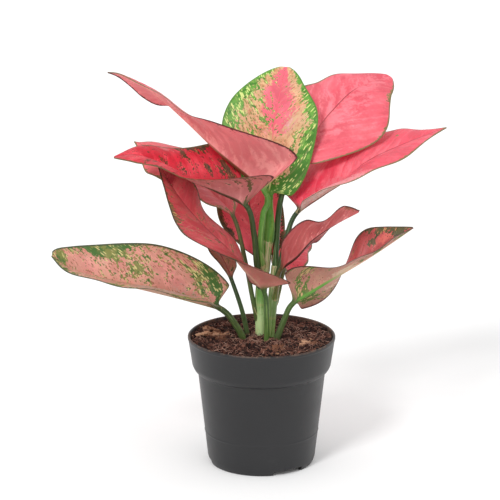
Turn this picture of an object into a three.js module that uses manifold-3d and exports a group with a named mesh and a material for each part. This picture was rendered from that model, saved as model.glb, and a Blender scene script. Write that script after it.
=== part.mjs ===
// Potted Chinese evergreen: thirteen leaves on two short canes, in soil, in a plain nursery pot.
// Millimetres, +Z up. The origin is the centre of the pot's foot, and -Y is the plant's front.
import * as THREE from 'three';
import { mergeVertices } from 'three/addons/utils/BufferGeometryUtils.js';
import Module from 'manifold-3d';

const wasm = await Module();
wasm.setup();

// ---- driving dimensions ---------------------------------------------------------------------
const RIM_RADIUS = 60;
const POT_HEIGHT = 107;
const WALL = 1.8;
const COLLAR_FOOT_RADIUS = 56.7;
const COLLAR_FOOT_Z = 84.3;
const BODY_TOP_RADIUS = 52;
const BODY_TOP_Z = 77.5;
const BODY_FOOT_RADIUS = 44;
const BODY_FOOT_Z = 5.5;
const FOOT_RADIUS = 42;
const BEAD_Z = 27;
const BEAD_HEIGHT = 0.35;
const FLOOR_Z = 4.2;
const PAD_RADIUS = 9;
const FOOT_GAPS = 3;
const FOOT_GAP_ANGLE = 36;
const FIRST_FOOT_GAP = 31;
const FOOT_GAP_DEPTH = 14;
const FOOT_GAP_HEIGHT = 3.9;
const DRAIN_HOLES = 6;
const DRAIN_RADIUS = 4;
const DRAIN_CIRCLE = 27;
const DRAIN_SIDES = 12;
const POT_SIDES = 40;

const SOIL_LEVEL = 104.2;
const SOIL_BUMP = 1.3;
const SOIL_RINGS = 8;
const SOIL_EDGE = 8;

const CLEARANCE = 0.3;
const BLADE_THICKNESS = 0.7;
const STALK_FLARE = 1.25;
const MARGIN_WAVE = 0.9;
const MARGIN_WAVES = 3.2;
const CAMBER = 0.07;
const BLADE_STATIONS = 20;
const STALK_STATIONS = 6;
const TIP = 0.985;
const TAPER = 0.45;

// Where along the blade, from base 0 to tip 1, the half-chords below are stated.
const FIRST_CHORD = 0.1;
const LAST_CHORD = 0.85;

// Each leaf: its petiole from its seat up to the blade's base, its midrib from there to the tip,
// and the way from the midrib to the left and right margins at four places along the blade. Blades
// that are blunter at the tip than the rest have a taper of their own.
const LEAVES = [
  {
    name: 'leaf_crown', colour: 0x7fae4a, radius: 3.3, taper: -0.1,
    stalk: [[4, 9, 176], [6, 10, 196], [6, 11, 221]],
    rib: [[9, 15, 245], [9, 22, 270], [13, 34, 292], [20, 60, 317]],
    left: [[-34, 2, -8], [-39, 3, 0], [-45, 0, 2], [-52, -4, 2]],
    right: [[28, -10, -17], [33, -7, -1], [37, -8, 2], [32, -4, 0]],
  },
  {
    name: 'leaf_upper_left', colour: 0xd8707e, radius: 2.2,
    stalk: [[1, 6, 161], [-1, 0, 184], [1, -1, 208], [3, 0, 226]],
    rib: [[-32, -14, 262], [-59, -24, 291], [-84, -32, 315], [-109, -36, 330], [-122, -34, 332]],
    left: [[61, -12, 32], [6, -21, 23], [2, -26, 9], [9, -32, 3]],
    right: [[6, 20, 24], [-2, 18, 5], [-5, 22, 0], [5, 27, -34]],
  },
  {
    name: 'leaf_left', colour: 0xd8283c, radius: 2.1, taper: 0.0,
    stalk: [[0, 8, 141], [-4, 0, 167], [-6, -4, 191], [-12, -12, 218]],
    rib: [[-35, -20, 233], [-57, -26, 244], [-81, -28, 258], [-100, -27, 264], [-118, -24, 261]],
    left: [[51, -18, 33], [6, -23, 9], [1, -30, 4], [3, -31, -5]],
    right: [[5, 23, 40], [7, 22, 29], [8, 24, 12], [8, 24, 8]],
  },
  {
    name: 'leaf_left_rear', colour: 0xd9606f, radius: 1.7,
    stalk: [[-2, 8, 113], [-7, 5, 135], [-13, 5, 167], [-22, 6, 203]],
    rib: [[-38, 14, 220], [-58, 20, 237], [-81, 26, 252], [-104, 32, 261]],
    left: [[-7, -27, 4], [-7, -20, -5], [-18, -22, -6], [-16, -35, -24]],
    right: [[16, 30, 3], [17, 24, 5], [9, 24, 8], [-6, 30, 6]],
  },
  {
    name: 'leaf_drooping', colour: 0xb53c4b, radius: 1.9, taper: 0.2,
    stalk: [[4, -8, 95], [4, -10, 124], [2, -12, 147]],
    rib: [[-12, -24, 168], [-26, -34, 188], [-46, -38, 209], [-65, -32, 230], [-84, -20, 258]],
    left: [[47, -18, 0], [-15, -18, 6], [-19, -22, 3], [-9, -24, -1]],
    right: [[-7, 20, -9], [4, 20, 4], [5, 24, 1], [33, 24, 3]],
  },
  {
    name: 'leaf_left_inner', colour: 0x9b6a58, radius: 1.7,
    stalk: [[-10, 8, 95], [-15, 4, 123], [-24, 2, 152]],
    rib: [[-32, 5, 170], [-46, 10, 191], [-60, 15, 212], [-73, 20, 232]],
    left: [[-10, -13, 9], [-6, -20, 4], [-6, -24, 1], [-6, -27, 0]],
    right: [[13, 13, 2], [8, 20, 3], [2, 24, 4], [15, 28, 5]],
  },
  {
    name: 'leaf_low_left', colour: 0xe09a93, radius: 2.4, taper: -0.1,
    stalk: [[-11, 1, 95], [-20, -4, 115], [-33, -10, 132]],
    rib: [[-58, -20, 143], [-90, -30, 154], [-121, -36, 163], [-151, -40, 174], [-167, -42, 186]],
    left: [[4, -50, 14], [-1, -32, 10], [-3, -33, 8], [-5, -30, 5]],
    right: [[33, 23, 19], [12, 18, 31], [7, 20, 31], [1, 27, 30]],
  },
  {
    name: 'leaf_upper_right', colour: 0xf0677a, radius: 2.1, taper: -0.1,
    stalk: [[11, 8, 157], [12, 12, 183], [15, 15, 214], [24, 20, 244]],
    rib: [[40, 30, 265], [57, 40, 284], [77, 52, 300], [106, 78, 305]],
    left: [[-20, 12, 21], [-20, 13, 23], [-23, 19, 10], [-31, 19, 9]],
    right: [[24, -22, -10], [32, -20, -18], [35, -26, -24], [25, -21, -19]],
  },
  {
    name: 'leaf_right', colour: 0xee4058, radius: 2.0,
    stalk: [[10, 3, 144], [15, 1, 166], [20, 7, 187], [28, 8, 207]],
    rib: [[49, 8, 223], [66, 9, 234], [86, 11, 250], [115, 15, 263], [150, 22, 275]],
    left: [[-33, 28, 7], [-6, 28, 25], [5, 34, 12], [-5, 32, 7]],
    right: [[-11, -30, 10], [1, -28, 4], [4, -30, -4], [3, -37, -3]],
  },
  {
    name: 'leaf_right_small', colour: 0xc05563, radius: 1.6, taper: -0.05,
    stalk: [[10, 3, 134], [12, -5, 149], [15, -8, 164]],
    rib: [[28, -14, 177], [40, -21, 193], [58, -29, 208], [77, -36, 220]],
    left: [[-1, 30, 2], [5, 20, -5], [0, 20, -10], [12, 30, 5]],
    right: [[-8, -13, 34], [0, -14, 27], [-2, -20, 14], [-3, -21, 25]],
  },
  {
    name: 'leaf_low_right', colour: 0xc98a7c, radius: 2.2, taper: 0.2,
    stalk: [[9, -5, 95], [18, -9, 122], [25, -12, 137]],
    rib: [[42, -16, 150], [62, -16, 163], [90, -10, 178], [123, 2, 197]],
    left: [[-1, 23, -27], [3, 19, -13], [-8, 15, 16], [-17, 18, 19]],
    right: [[-26, -20, 38], [-5, -16, 13], [-1, -22, 9], [-1, -26, 11]],
  },
  {
    name: 'leaf_rear', colour: 0xdb4356, radius: 2.0,
    stalk: [[0, 8, 130], [0, 17, 146], [-1, 20, 163]],
    rib: [[-3, 28, 179], [-8, 40, 197], [-12, 52, 215], [-16, 64, 233]],
    left: [[-23, -5, 6], [-28, -4, 3], [-30, -4, 6], [-41, 0, 7]],
    right: [[25, -3, 0], [25, -4, 0], [30, -4, 0], [40, 0, 3]],
  },
  {
    name: 'leaf_rear_low', colour: 0xe04a5c, radius: 1.7,
    stalk: [[10, 4, 129], [14, 13, 141], [18, 22, 154]],
    rib: [[25, 50, 160], [32, 80, 162], [39, 112, 161]],
    left: [[-20, 7, 0], [-13, 6, 10], [-12, 7, 12], [-15, 15, 12]],
    right: [[10, -7, -12], [13, -6, -6], [9, -9, -6], [15, -15, -7]],
  },
];

// Each cane: its line from in the soil to its top, and its radius at each of those points.
const CANES = [
  {
    name: 'cane_left', colour: 0x8db765,
    line: [[-2, 8, 88], [-1, 8, 102], [-1, 8, 134], [2, 9, 164], [4, 9, 184]],
    radii: [4.0, 4.1, 4.6, 5.0, 4.9],
    bears: ['leaf_crown', 'leaf_upper_left', 'leaf_left', 'leaf_left_rear', 'leaf_rear'],
  },
  {
    name: 'cane_right', colour: 0x9fb877,
    line: [[6, 1, 88], [7, 1, 104], [9, 3, 134], [12, 7, 163]],
    radii: [3.2, 3.3, 4.0, 4.2],
    bears: ['leaf_upper_right', 'leaf_right', 'leaf_right_small', 'leaf_rear_low'],
  },
];
const CANE_STATIONS = 10;
const CANE_SIDES = 12;

// ---- shared helpers -------------------------------------------------------------------------
const { clamp, lerp, smoothstep, degToRad } = THREE.MathUtils;
const vector = ([x, y, z]) => new THREE.Vector3(x, y, z);
const splineThrough = (points) => new THREE.CatmullRomCurve3(points.map(vector), false, 'catmullrom', 0.5);

// Points and tangents at equal steps of length along one stretch of a curve.
const FINE_STEPS = 240;
function stretch(curve, from, to, fractions) {
  const fine = [];
  for (let i = 0; i <= FINE_STEPS; i += 1) fine.push(curve.getPoint(lerp(from, to, i / FINE_STEPS)));
  const lengths = [0];
  for (let i = 1; i <= FINE_STEPS; i += 1) lengths.push(lengths[i - 1] + fine[i].distanceTo(fine[i - 1]));
  return fractions.map((fraction) => {
    const wanted = fraction * lengths[FINE_STEPS];
    let i = 1;
    while (i < FINE_STEPS && lengths[i] < wanted) i += 1;
    const part = clamp((wanted - lengths[i - 1]) / (lengths[i] - lengths[i - 1]), 0, 1);
    return {
      point: fine[i - 1].clone().lerp(fine[i], part),
      tangent: fine[i].clone().sub(fine[i - 1]).normalize(),
    };
  });
}

// A closed skin over rings of points that all have the same count. The second half of each ring
// is the first half's underside, so its squares are cut along the mirrored diagonal.
function skinOver(rings) {
  const count = rings[0].length;
  const positions = rings.flat().flatMap((point) => point.toArray());
  const faces = [];
  for (let i = 0; i + 1 < rings.length; i += 1) {
    for (let j = 0; j < count; j += 1) {
      const a = i * count + j;
      const b = i * count + ((j + 1) % count);
      const c = a + count;
      const d = b + count;
      if (j < count / 2) faces.push(a, b, d, a, d, c);
      else faces.push(a, b, c, b, d, c);
    }
  }
  [0, rings.length - 1].forEach((i) => {
    const middle = rings[i].reduce((sum, point) => sum.add(point), new THREE.Vector3());
    positions.push(...middle.divideScalar(count).toArray());
    const hub = positions.length / 3 - 1;
    for (let j = 0; j < count; j += 1) {
      const a = i * count + j;
      const b = i * count + ((j + 1) % count);
      if (i === 0) faces.push(hub, b, a);
      else faces.push(hub, a, b);
    }
  });
  const geometry = new THREE.BufferGeometry();
  geometry.setAttribute('position', new THREE.Float32BufferAttribute(positions, 3));
  geometry.setIndex(faces);
  return geometry;
}

function toSolid(geometry) {
  const bare = geometry.clone();
  bare.deleteAttribute('normal');
  bare.deleteAttribute('uv');
  const merged = mergeVertices(bare, 1e-4);
  return new wasm.Manifold(new wasm.Mesh({
    numProp: 3,
    vertProperties: new Float32Array(merged.attributes.position.array),
    triVerts: new Uint32Array(merged.index.array),
  }));
}

function toGeometry(solid) {
  const mesh = solid.getMesh();
  const geometry = new THREE.BufferGeometry();
  geometry.setAttribute('position', new THREE.Float32BufferAttribute(mesh.vertProperties, 3));
  geometry.setIndex(Array.from(mesh.triVerts));
  return geometry;
}

function named(name, geometry, colour, roughness) {
  geometry.computeVertexNormals();
  const material = new THREE.MeshStandardMaterial({ color: colour, roughness, metalness: 0 });
  const mesh = new THREE.Mesh(geometry, material);
  mesh.name = name;
  return mesh;
}

// ---- leaves ---------------------------------------------------------------------------------
// Six columns across a blade: the margins, half way in, and both sides of the midrib.
const COLUMNS = 6;

// The blade's outline: 0 at the base, rounded out to 1 near its middle, and drawn out to the tip,
// the more so the greater its taper.
function outline(t, taper = TAPER) {
  return Math.sin(Math.PI * t ** 0.8) ** (0.7 + taper * smoothstep(t, 0.7, 1));
}

function halfChord(chords, t) {
  return splineThrough(chords).getPoint(clamp((t - FIRST_CHORD) / (LAST_CHORD - FIRST_CHORD), 0, 1));
}

// The direction across a petiole, square to its own line, that the blade's margins set out in.
function acrossStalk(leaf, tangent) {
  const across = vector(leaf.right[0]).sub(vector(leaf.left[0]));
  return across.addScaledVector(tangent, -across.dot(tangent)).normalize();
}

// The round section of a petiole, as points over the top from left to right and back below.
function stalkRing(leaf, { point, tangent }, radius) {
  const across = acrossStalk(leaf, tangent);
  const up = across.clone().cross(tangent);
  const count = 2 * COLUMNS;
  return Array.from({ length: count }, (_, j) => {
    const angle = Math.PI - (2 * Math.PI * (j + 0.5)) / count;
    return point.clone()
      .addScaledVector(across, radius * Math.cos(angle))
      .addScaledVector(up, radius * Math.sin(angle));
  });
}

// The flat section of a blade, in the same order of points. Each half runs out along its chord,
// bulges a little between midrib and margin, and its margin waves up and down.
function bladeRing(leaf, { point, tangent }, t) {
  const halves = [leaf.left, leaf.right].map((chords, side) => {
    const chord = halfChord(chords, t).multiplyScalar(outline(t, leaf.taper));
    const up = side === 0 ? tangent.clone().cross(chord) : chord.clone().cross(tangent);
    return { chord, up: up.normalize(), width: chord.length() };
  });
  const keel = leaf.radius * (1 - t) ** 0.8;
  const places = Array.from({ length: COLUMNS }, (_, j) => {
    const side = j < COLUMNS / 2 ? 0 : 1;
    const { chord, up, width } = halves[side];
    const inner = Math.min(0.3, (0.8 * leaf.radius) / Math.max(width, 0.1));
    const out = [1, 0.55, inner][side === 0 ? j : COLUMNS - 1 - j];
    const wave = Math.sin(2 * Math.PI * (MARGIN_WAVES * t + side / 2)) * MARGIN_WAVE * out ** 2;
    const rise = CAMBER * width * Math.sin(Math.PI * out) + wave * Math.sqrt(outline(t, leaf.taper));
    const middle = point.clone().addScaledVector(chord, out).addScaledVector(up, rise);
    const below = out === inner ? BLADE_THICKNESS / 2 + keel : BLADE_THICKNESS / 2;
    return { middle, up, below };
  });
  const above = places.map(({ middle, up }) => middle.clone().addScaledVector(up, BLADE_THICKNESS / 2));
  const under = places.map(({ middle, up, below }) => middle.clone().addScaledVector(up, -below));
  return [...above, ...under.reverse()];
}

function steps(count, last = 1) {
  return Array.from({ length: count + 1 }, (_, i) => (last * i) / count);
}

const wholeLine = (leaf) => splineThrough([...leaf.stalk, ...leaf.rib]);
const baseOf = (leaf) => (leaf.stalk.length - 1) / (leaf.stalk.length + leaf.rib.length - 1);

function stalkRings(leaf, extra) {
  return stretch(wholeLine(leaf), 0, baseOf(leaf), steps(STALK_STATIONS)).map((place, i) => {
    const radius = leaf.radius * lerp(STALK_FLARE, 1, i / STALK_STATIONS) + extra;
    if (i === 0) place.point.addScaledVector(place.tangent, -extra);
    return stalkRing(leaf, place, radius);
  });
}

// A leaf grown as one: the petiole's round section flattens into the blade's.
function leafGeometry(leaf) {
  const fractions = steps(BLADE_STATIONS, TIP);
  const blade = stretch(wholeLine(leaf), baseOf(leaf), 1, fractions).map((place, i) => {
    const t = fractions[i];
    const round = stalkRing(leaf, place, leaf.radius);
    const flat = bladeRing(leaf, place, Math.max(t, 0.01));
    return round.map((point, j) => point.lerp(flat[j], smoothstep(t, 0, FIRST_CHORD)));
  });
  return skinOver([...stalkRings(leaf, 0).slice(0, -1), ...blade]);
}

// What a petiole's seat is cut with: the petiole, larger by the clearance.
const stalkRoom = (leaf) => toSolid(skinOver(stalkRings(leaf, CLEARANCE)));

// ---- canes ----------------------------------------------------------------------------------
function caneGeometry(cane, extra) {
  const places = stretch(splineThrough(cane.line), 0, 1, steps(CANE_STATIONS));
  const radii = new THREE.SplineCurve(cane.radii.map((radius, i) => new THREE.Vector2(i, radius)));
  const sideways = new THREE.Vector3(1, 0, 0);
  return skinOver(places.map(({ point, tangent }, i) => {
    const across = sideways.clone().addScaledVector(tangent, -sideways.dot(tangent)).normalize();
    const up = across.clone().cross(tangent);
    const radius = radii.getPoint(i / CANE_STATIONS).y + extra;
    if (i === 0) point.addScaledVector(tangent, -extra);
    return Array.from({ length: CANE_SIDES }, (_, j) => {
      const angle = Math.PI - (2 * Math.PI * j) / CANE_SIDES;
      return point.clone()
        .addScaledVector(across, radius * Math.cos(angle))
        .addScaledVector(up, radius * Math.sin(angle));
    });
  }));
}

function makeCane(cane) {
  const seats = LEAVES.filter((leaf) => cane.bears.includes(leaf.name)).map(stalkRoom);
  const solid = seats.reduce((body, seat) => body.subtract(seat), toSolid(caneGeometry(cane, 0)));
  return named(cane.name, toGeometry(solid), cane.colour, 0.55);
}

// ---- pot and soil ---------------------------------------------------------------------------
const points = (pairs) => pairs.map(([radius, z]) => new THREE.Vector2(radius, z));

// A body turned about the Z axis.
function turned(pairs, sides) {
  return new THREE.LatheGeometry(points(pairs), sides).rotateX(Math.PI / 2);
}

// Radius of the pot's body, outside, at a height.
function bodyRadius(z) {
  return lerp(BODY_FOOT_RADIUS, BODY_TOP_RADIUS, (z - BODY_FOOT_Z) / (BODY_TOP_Z - BODY_FOOT_Z));
}

const FLOOR_TOP = FLOOR_Z + WALL;
const INSIDE = [
  [bodyRadius(FLOOR_TOP) - WALL - 1, FLOOR_TOP],
  [bodyRadius(FLOOR_TOP + 1) - WALL, FLOOR_TOP + 1],
  [BODY_TOP_RADIUS - WALL, BODY_TOP_Z + 0.7],
  [COLLAR_FOOT_RADIUS - WALL, COLLAR_FOOT_Z + 0.7],
  [RIM_RADIUS - WALL - 0.1, POT_HEIGHT - 0.6],
];

function makePot() {
  const profile = [
    [0, 0],
    [PAD_RADIUS, 0],
    [PAD_RADIUS + 1.2, FLOOR_Z],
    [FOOT_RADIUS - WALL - 1.2, FLOOR_Z],
    [FOOT_RADIUS - WALL, 0],
    [FOOT_RADIUS, 0],
    [FOOT_RADIUS + 1.2, 2.6],
    [BODY_FOOT_RADIUS, BODY_FOOT_Z],
    [bodyRadius(BEAD_Z - 0.9), BEAD_Z - 0.9],
    [bodyRadius(BEAD_Z) + BEAD_HEIGHT, BEAD_Z],
    [bodyRadius(BEAD_Z + 0.9), BEAD_Z + 0.9],
    [BODY_TOP_RADIUS, BODY_TOP_Z],
    [lerp(BODY_TOP_RADIUS, COLLAR_FOOT_RADIUS, 0.6), lerp(BODY_TOP_Z, COLLAR_FOOT_Z, 0.3)],
    [COLLAR_FOOT_RADIUS - 0.3, COLLAR_FOOT_Z - 1.6],
    [COLLAR_FOOT_RADIUS, COLLAR_FOOT_Z],
    [RIM_RADIUS - 0.4, POT_HEIGHT - 3],
    [RIM_RADIUS, POT_HEIGHT - 2.4],
    [RIM_RADIUS, POT_HEIGHT - 0.6],
    [RIM_RADIUS - 0.6, POT_HEIGHT],
    [RIM_RADIUS - WALL + 0.5, POT_HEIGHT],
    ...[...INSIDE].reverse(),
    [0, FLOOR_TOP],
  ];
  const gapWidth = 2 * FOOT_RADIUS * Math.sin(degToRad(FOOT_GAP_ANGLE / 2));
  const gap = new THREE.BoxGeometry(gapWidth, FOOT_GAP_DEPTH, 2 * FOOT_GAP_HEIGHT);
  gap.translate(0, -FOOT_RADIUS, 0);
  let pot = toSolid(turned(profile, POT_SIDES));
  for (let i = 0; i < FOOT_GAPS; i += 1) {
    const angle = degToRad(FIRST_FOOT_GAP + (360 * i) / FOOT_GAPS);
    pot = pot.subtract(toSolid(gap.clone().rotateZ(angle)));
  }
  const drain = new THREE.CylinderGeometry(DRAIN_RADIUS, DRAIN_RADIUS, 3 * WALL, DRAIN_SIDES);
  drain.rotateX(Math.PI / 2).translate(0, -DRAIN_CIRCLE, FLOOR_Z + WALL / 2);
  for (let i = 0; i < DRAIN_HOLES; i += 1) {
    pot = pot.subtract(toSolid(drain.clone().rotateZ((2 * Math.PI * i) / DRAIN_HOLES)));
  }
  return named('pot', toGeometry(pot), 0x3b3d40, 0.5);
}

// The soil's crumbled top: long and short swells laid over each other.
function soilRise(x, y) {
  const long = Math.sin(x * 0.11 + 1.3) * Math.cos(y * 0.13 + 0.4);
  const short = Math.sin(x * 0.31 - y * 0.23) * Math.cos(y * 0.37 + x * 0.12);
  return SOIL_BUMP * (0.55 * long + 0.45 * short);
}

function makeSoil() {
  const inside = INSIDE.map(([radius, z]) => [radius - CLEARANCE, z]);
  const wall = inside.slice(1, 4);
  const [lowRadius, lowZ] = wall[2];
  const [rimRadius, rimZ] = inside[4];
  const edge = lerp(lowRadius, rimRadius, (SOIL_LEVEL - lowZ) / (rimZ - lowZ));
  const top = steps(SOIL_RINGS).map((part) => [edge * (1 - part), SOIL_LEVEL]);
  const floor = [[0, FLOOR_TOP + CLEARANCE], [inside[0][0], FLOOR_TOP + CLEARANCE]];
  const body = turned([...floor, ...wall, ...top], POT_SIDES);
  const place = body.attributes.position;
  for (let i = 0; i < place.count; i += 1) {
    const x = place.getX(i);
    const y = place.getY(i);
    const inward = smoothstep(edge - Math.hypot(x, y), 0, SOIL_EDGE);
    if (place.getZ(i) > SOIL_LEVEL - 0.1) place.setZ(i, SOIL_LEVEL + inward * soilRise(x, y));
  }
  const borne = new Set(CANES.flatMap((cane) => cane.bears));
  const rooted = LEAVES.filter((leaf) => !borne.has(leaf.name)).map(stalkRoom);
  const canes = CANES.map((cane) => toSolid(caneGeometry(cane, CLEARANCE)));
  const solid = [...rooted, ...canes].reduce((soil, hole) => soil.subtract(hole), toSolid(body));
  return named('soil', toGeometry(solid), 0x4a2f25, 0.95);
}

// ---- the whole plant ------------------------------------------------------------------------
const plant = new THREE.Group();
plant.add(makePot(), makeSoil());
const foliage = new THREE.Group();
foliage.add(...CANES.map(makeCane));
foliage.add(...LEAVES.map((leaf) => named(leaf.name, leafGeometry(leaf), leaf.colour, 0.45)));
plant.add(foliage);

export default plant;
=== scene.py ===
"""The looks of a potted chinese evergreen: pink, red and green leaves, canes, soil and nursery pot.

Places and sizes are in millimetres in the plant's own frame, +Z up and -Y to the front. They turn to
metres where a mesh is made.
"""

import logging
import math
from dataclasses import dataclass, field, fields, replace
from enum import Enum

import bpy
import numpy as np
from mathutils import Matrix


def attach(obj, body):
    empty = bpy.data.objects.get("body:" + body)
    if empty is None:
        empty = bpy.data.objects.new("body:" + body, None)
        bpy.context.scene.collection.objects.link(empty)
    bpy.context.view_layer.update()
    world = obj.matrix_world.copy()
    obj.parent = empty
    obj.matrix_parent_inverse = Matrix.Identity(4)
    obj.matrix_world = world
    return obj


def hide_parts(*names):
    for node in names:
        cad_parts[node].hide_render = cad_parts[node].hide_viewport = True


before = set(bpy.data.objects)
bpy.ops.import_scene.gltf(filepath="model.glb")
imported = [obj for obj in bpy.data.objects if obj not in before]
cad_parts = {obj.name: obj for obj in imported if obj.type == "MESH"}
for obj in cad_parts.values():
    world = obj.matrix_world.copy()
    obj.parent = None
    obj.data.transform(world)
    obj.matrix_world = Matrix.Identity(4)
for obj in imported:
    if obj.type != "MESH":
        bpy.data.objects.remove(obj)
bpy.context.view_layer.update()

LOG = logging.getLogger("evergreen")
Array = np.ndarray
Point = tuple[float, float, float]
Paint = tuple[int, int, int]
Spot = tuple[float, float, float, float, float]
MM = 0.001
SPAN_STEPS = 80

# ---- camera and light ------------------------------------------------------------------------------
CAMERA_PLACE = (-9.4, -2114.5, 773.7)
CAMERA_PITCH = 15.722
LENS = 196.27
SENSOR = 36.0

# ---- pot and soil sizes ----------------------------------------------------------------------------
RIM_RADIUS = 60.0
POT_HEIGHT = 107.0
WALL = 1.8
COLLAR_FOOT_RADIUS = 56.7
COLLAR_FOOT_Z = 84.3
COLLAR_TUCK = 0.3
COLLAR_DROP = 1.6
ROLL_FOOT = 3.0
ROLL_HEIGHT = 2.4
ROLL_EDGE = 0.6
ROLL_TUCK = 0.4
BODY_TOP_RADIUS = 52.0
BODY_TOP_Z = 77.5
BODY_FOOT_RADIUS = 44.0
BODY_FOOT_Z = 5.5
FOOT_RADIUS = 42.0
BEAD_Z = 27.0
BEAD_HEIGHT = 0.35
BEAD_HALF = 0.9
HUB = 0.5
FOOT_SLOPE = 1.2
FOOT_TOP_Z = 2.6
FLOOR_Z = 4.2
PAD_RADIUS = 9.0
FOOT_GAPS = 3
FOOT_GAP_ANGLE = 36.0
FIRST_FOOT_GAP = 31.0
FOOT_GAP_HEIGHT = 3.9
JAMB_STEP = 0.35
DRAIN_HOLES = 6
DRAIN_RADIUS = 4.0
DRAIN_CIRCLE = 27.0
SOIL_LEVEL = 104.2
SOIL_BUMP = 1.3
SOIL_EDGE = 8.0
CLEARANCE = 0.3

# ---- leaf sizes ------------------------------------------------------------------------------------
BLADE_THICKNESS = 0.7
STALK_FLARE = 1.25
MARGIN_WAVE = 0.9
MARGIN_WAVES = 3.2
CAMBER = 0.07
FIRST_CHORD = 0.1
LAST_CHORD = 0.85
TIP = 0.99
END_CROWDING = 0.45
OUTLINE_POWER = 0.7
OUTLINE_LEAN = 0.8
VEIN_SPACING = 11.0
VEIN_LEAN = 0.65
VEIN_BEND = 0.45
VEIN_START = 200.0
RIGHT_VEINS = 20.0
TROUGH_WIDTH = 1.5
TROUGH_DEPTH = 0.4
SWELL = 0.15
COLUMN_CROWDING = 1.6
KEEL_SPREAD = 0.75
KEEL_LEAST = 0.35
GROOVE_WIDTH = 0.9
GROOVE_DEPTH = 0.3
SHEATH_THICKNESS = 0.35
SHEATH_FIT = 1.02
SHEATH_FLARE = 0.42
SHEATH_GAP = 0.4
SHEATH_SPREAD = 135.0
SHEATH_OPENING = 50.0
SHEATH_LIMIT = 0.95
SHEATH_ROWS = 36
SHEATH_COLUMNS = 25
SHEATH_RIM = (206, 186, 138)

# ---- cane sizes ------------------------------------------------------------------------------------
RIDGE = 0.02
SCAR_HEIGHT = 1.6
SCAR_RISE = 0.15
SCAR_PAINT = (178, 158, 108)
HUSK_PAINT = (204, 190, 150)

# ---- what the colours of mottled, veiled and shaded patches are multiplied by ----------------------
MOTTLE_TINT = (0.72, 0.74, 0.62, 1.0)
VEIL_TINT = (0.5, 0.36, 0.34, 1.0)
SHADE_TINT = (0.25, 0.2, 0.2, 1.0)


# ==== shapes ========================================================================================
def smooth(value: Array, low: float, high: float) -> Array:
    """Eases from 0 at low to 1 at high: 3s squared less 2s cubed.

    Args:
        value: Numbers to ease.
        low: Where the rise starts.
        high: Where the rise ends.

    Returns:
        The eased numbers, from 0 to 1.
    """
    part = np.clip((np.asarray(value, float) - low) / (high - low), 0.0, 1.0)
    return part * part * (3.0 - 2.0 * part)


def unit(vectors: Array) -> Array:
    """Each vector over its own length."""
    return vectors / np.maximum(np.linalg.norm(vectors, axis=-1, keepdims=True), 1e-9)


def spline(points: object, per_span: int = SPAN_STEPS) -> Array:
    """A uniform Catmull-Rom curve: each span is the cubic that leaves and meets its points along the
    chord between their neighbours. Past both ends the first and last steps are repeated.

    Args:
        points: The points that the curve runs through.
        per_span: Steps in each span.

    Returns:
        Points along the curve, at even steps of its parameter.
    """
    given = np.asarray(points, float)
    before = 2.0 * given[:1] - given[1:2]
    after = 2.0 * given[-1:] - given[-2:-1]
    knots = np.concatenate([before, given, after])
    s = np.linspace(0.0, 1.0, per_span, endpoint=False)[None, :, None]
    start, end = knots[1:-2, None], knots[2:-1, None]
    leave = 0.5 * (knots[2:-1, None] - knots[:-3, None])
    meet = 0.5 * (knots[3:, None] - knots[1:-2, None])
    spans = (
        (2 * s**3 - 3 * s**2 + 1) * start
        + (s**3 - 2 * s**2 + s) * leave
        + (3 * s**2 - 2 * s**3) * end
        + (s**3 - s**2) * meet
    )
    return np.concatenate([spans.reshape(-1, given.shape[1]), given[-1:]])


def at_parameter(curve: Array, part: Array) -> Array:
    """Points of a curve at fractions of its parameter, straight between its steps."""
    place = np.asarray(part) * (len(curve) - 1)
    return np.stack([np.interp(place, np.arange(len(curve)), column) for column in curve.T], -1)


def at_length(curve: Array, part: Array) -> tuple[Array, Array, float]:
    """Points and directions of a curve at fractions of its length.

    Args:
        curve: Points along the curve.
        part: Fractions of its length.

    Returns:
        The points, the unit tangents there, and the curve's length.
    """
    run = np.concatenate([[0.0], np.cumsum(np.linalg.norm(np.diff(curve, axis=0), axis=1))])
    place = np.asarray(part) * run[-1]
    slope = unit(np.gradient(curve, run, axis=0))
    points = np.stack([np.interp(place, run, column) for column in curve.T], -1)
    tangents = np.stack([np.interp(place, run, column) for column in slope.T], -1)
    return points, unit(tangents), float(run[-1])


def square_to(tangent: Array, sideways: object) -> tuple[Array, Array]:
    """Two ways square to a line at each of its points.

    Args:
        tangent: The line's directions.
        sideways: The way that the first is nearest to.

    Returns:
        The first way and the one square to it.
    """
    way = np.asarray(sideways, float)
    across = unit(way - (tangent @ way)[:, None] * tangent)
    return across, np.cross(across, tangent)


def spokes(across: Array, up: Array, cosine: Array, sine: Array) -> Array:
    """Ways out from a line, by point of the line and by place round it."""
    return across[:, None] * cosine[..., None] + up[:, None] * sine[..., None]


def lattice_noise(x: Array, y: Array, cell: float, seed: int) -> Array:
    """Smooth random heights: a random number at each corner of a square lattice, eased between them.

    Args:
        x: Places along one way.
        y: Places along the other.
        cell: The lattice's spacing.
        seed: Which random lattice.

    Returns:
        Heights from -1 to 1.
    """
    size = 64
    table = np.random.default_rng(seed).uniform(-1.0, 1.0, (size, size))
    column, row = np.floor(x / cell).astype(int), np.floor(y / cell).astype(int)
    across, up = smooth(x / cell - column, 0, 1), smooth(y / cell - row, 0, 1)
    corner = [table[(column + i) % size, (row + j) % size] for i in (0, 1) for j in (0, 1)]
    near = corner[0] * (1 - up) + corner[1] * up
    far = corner[2] * (1 - up) + corner[3] * up
    return near * (1 - across) + far * across


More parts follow.
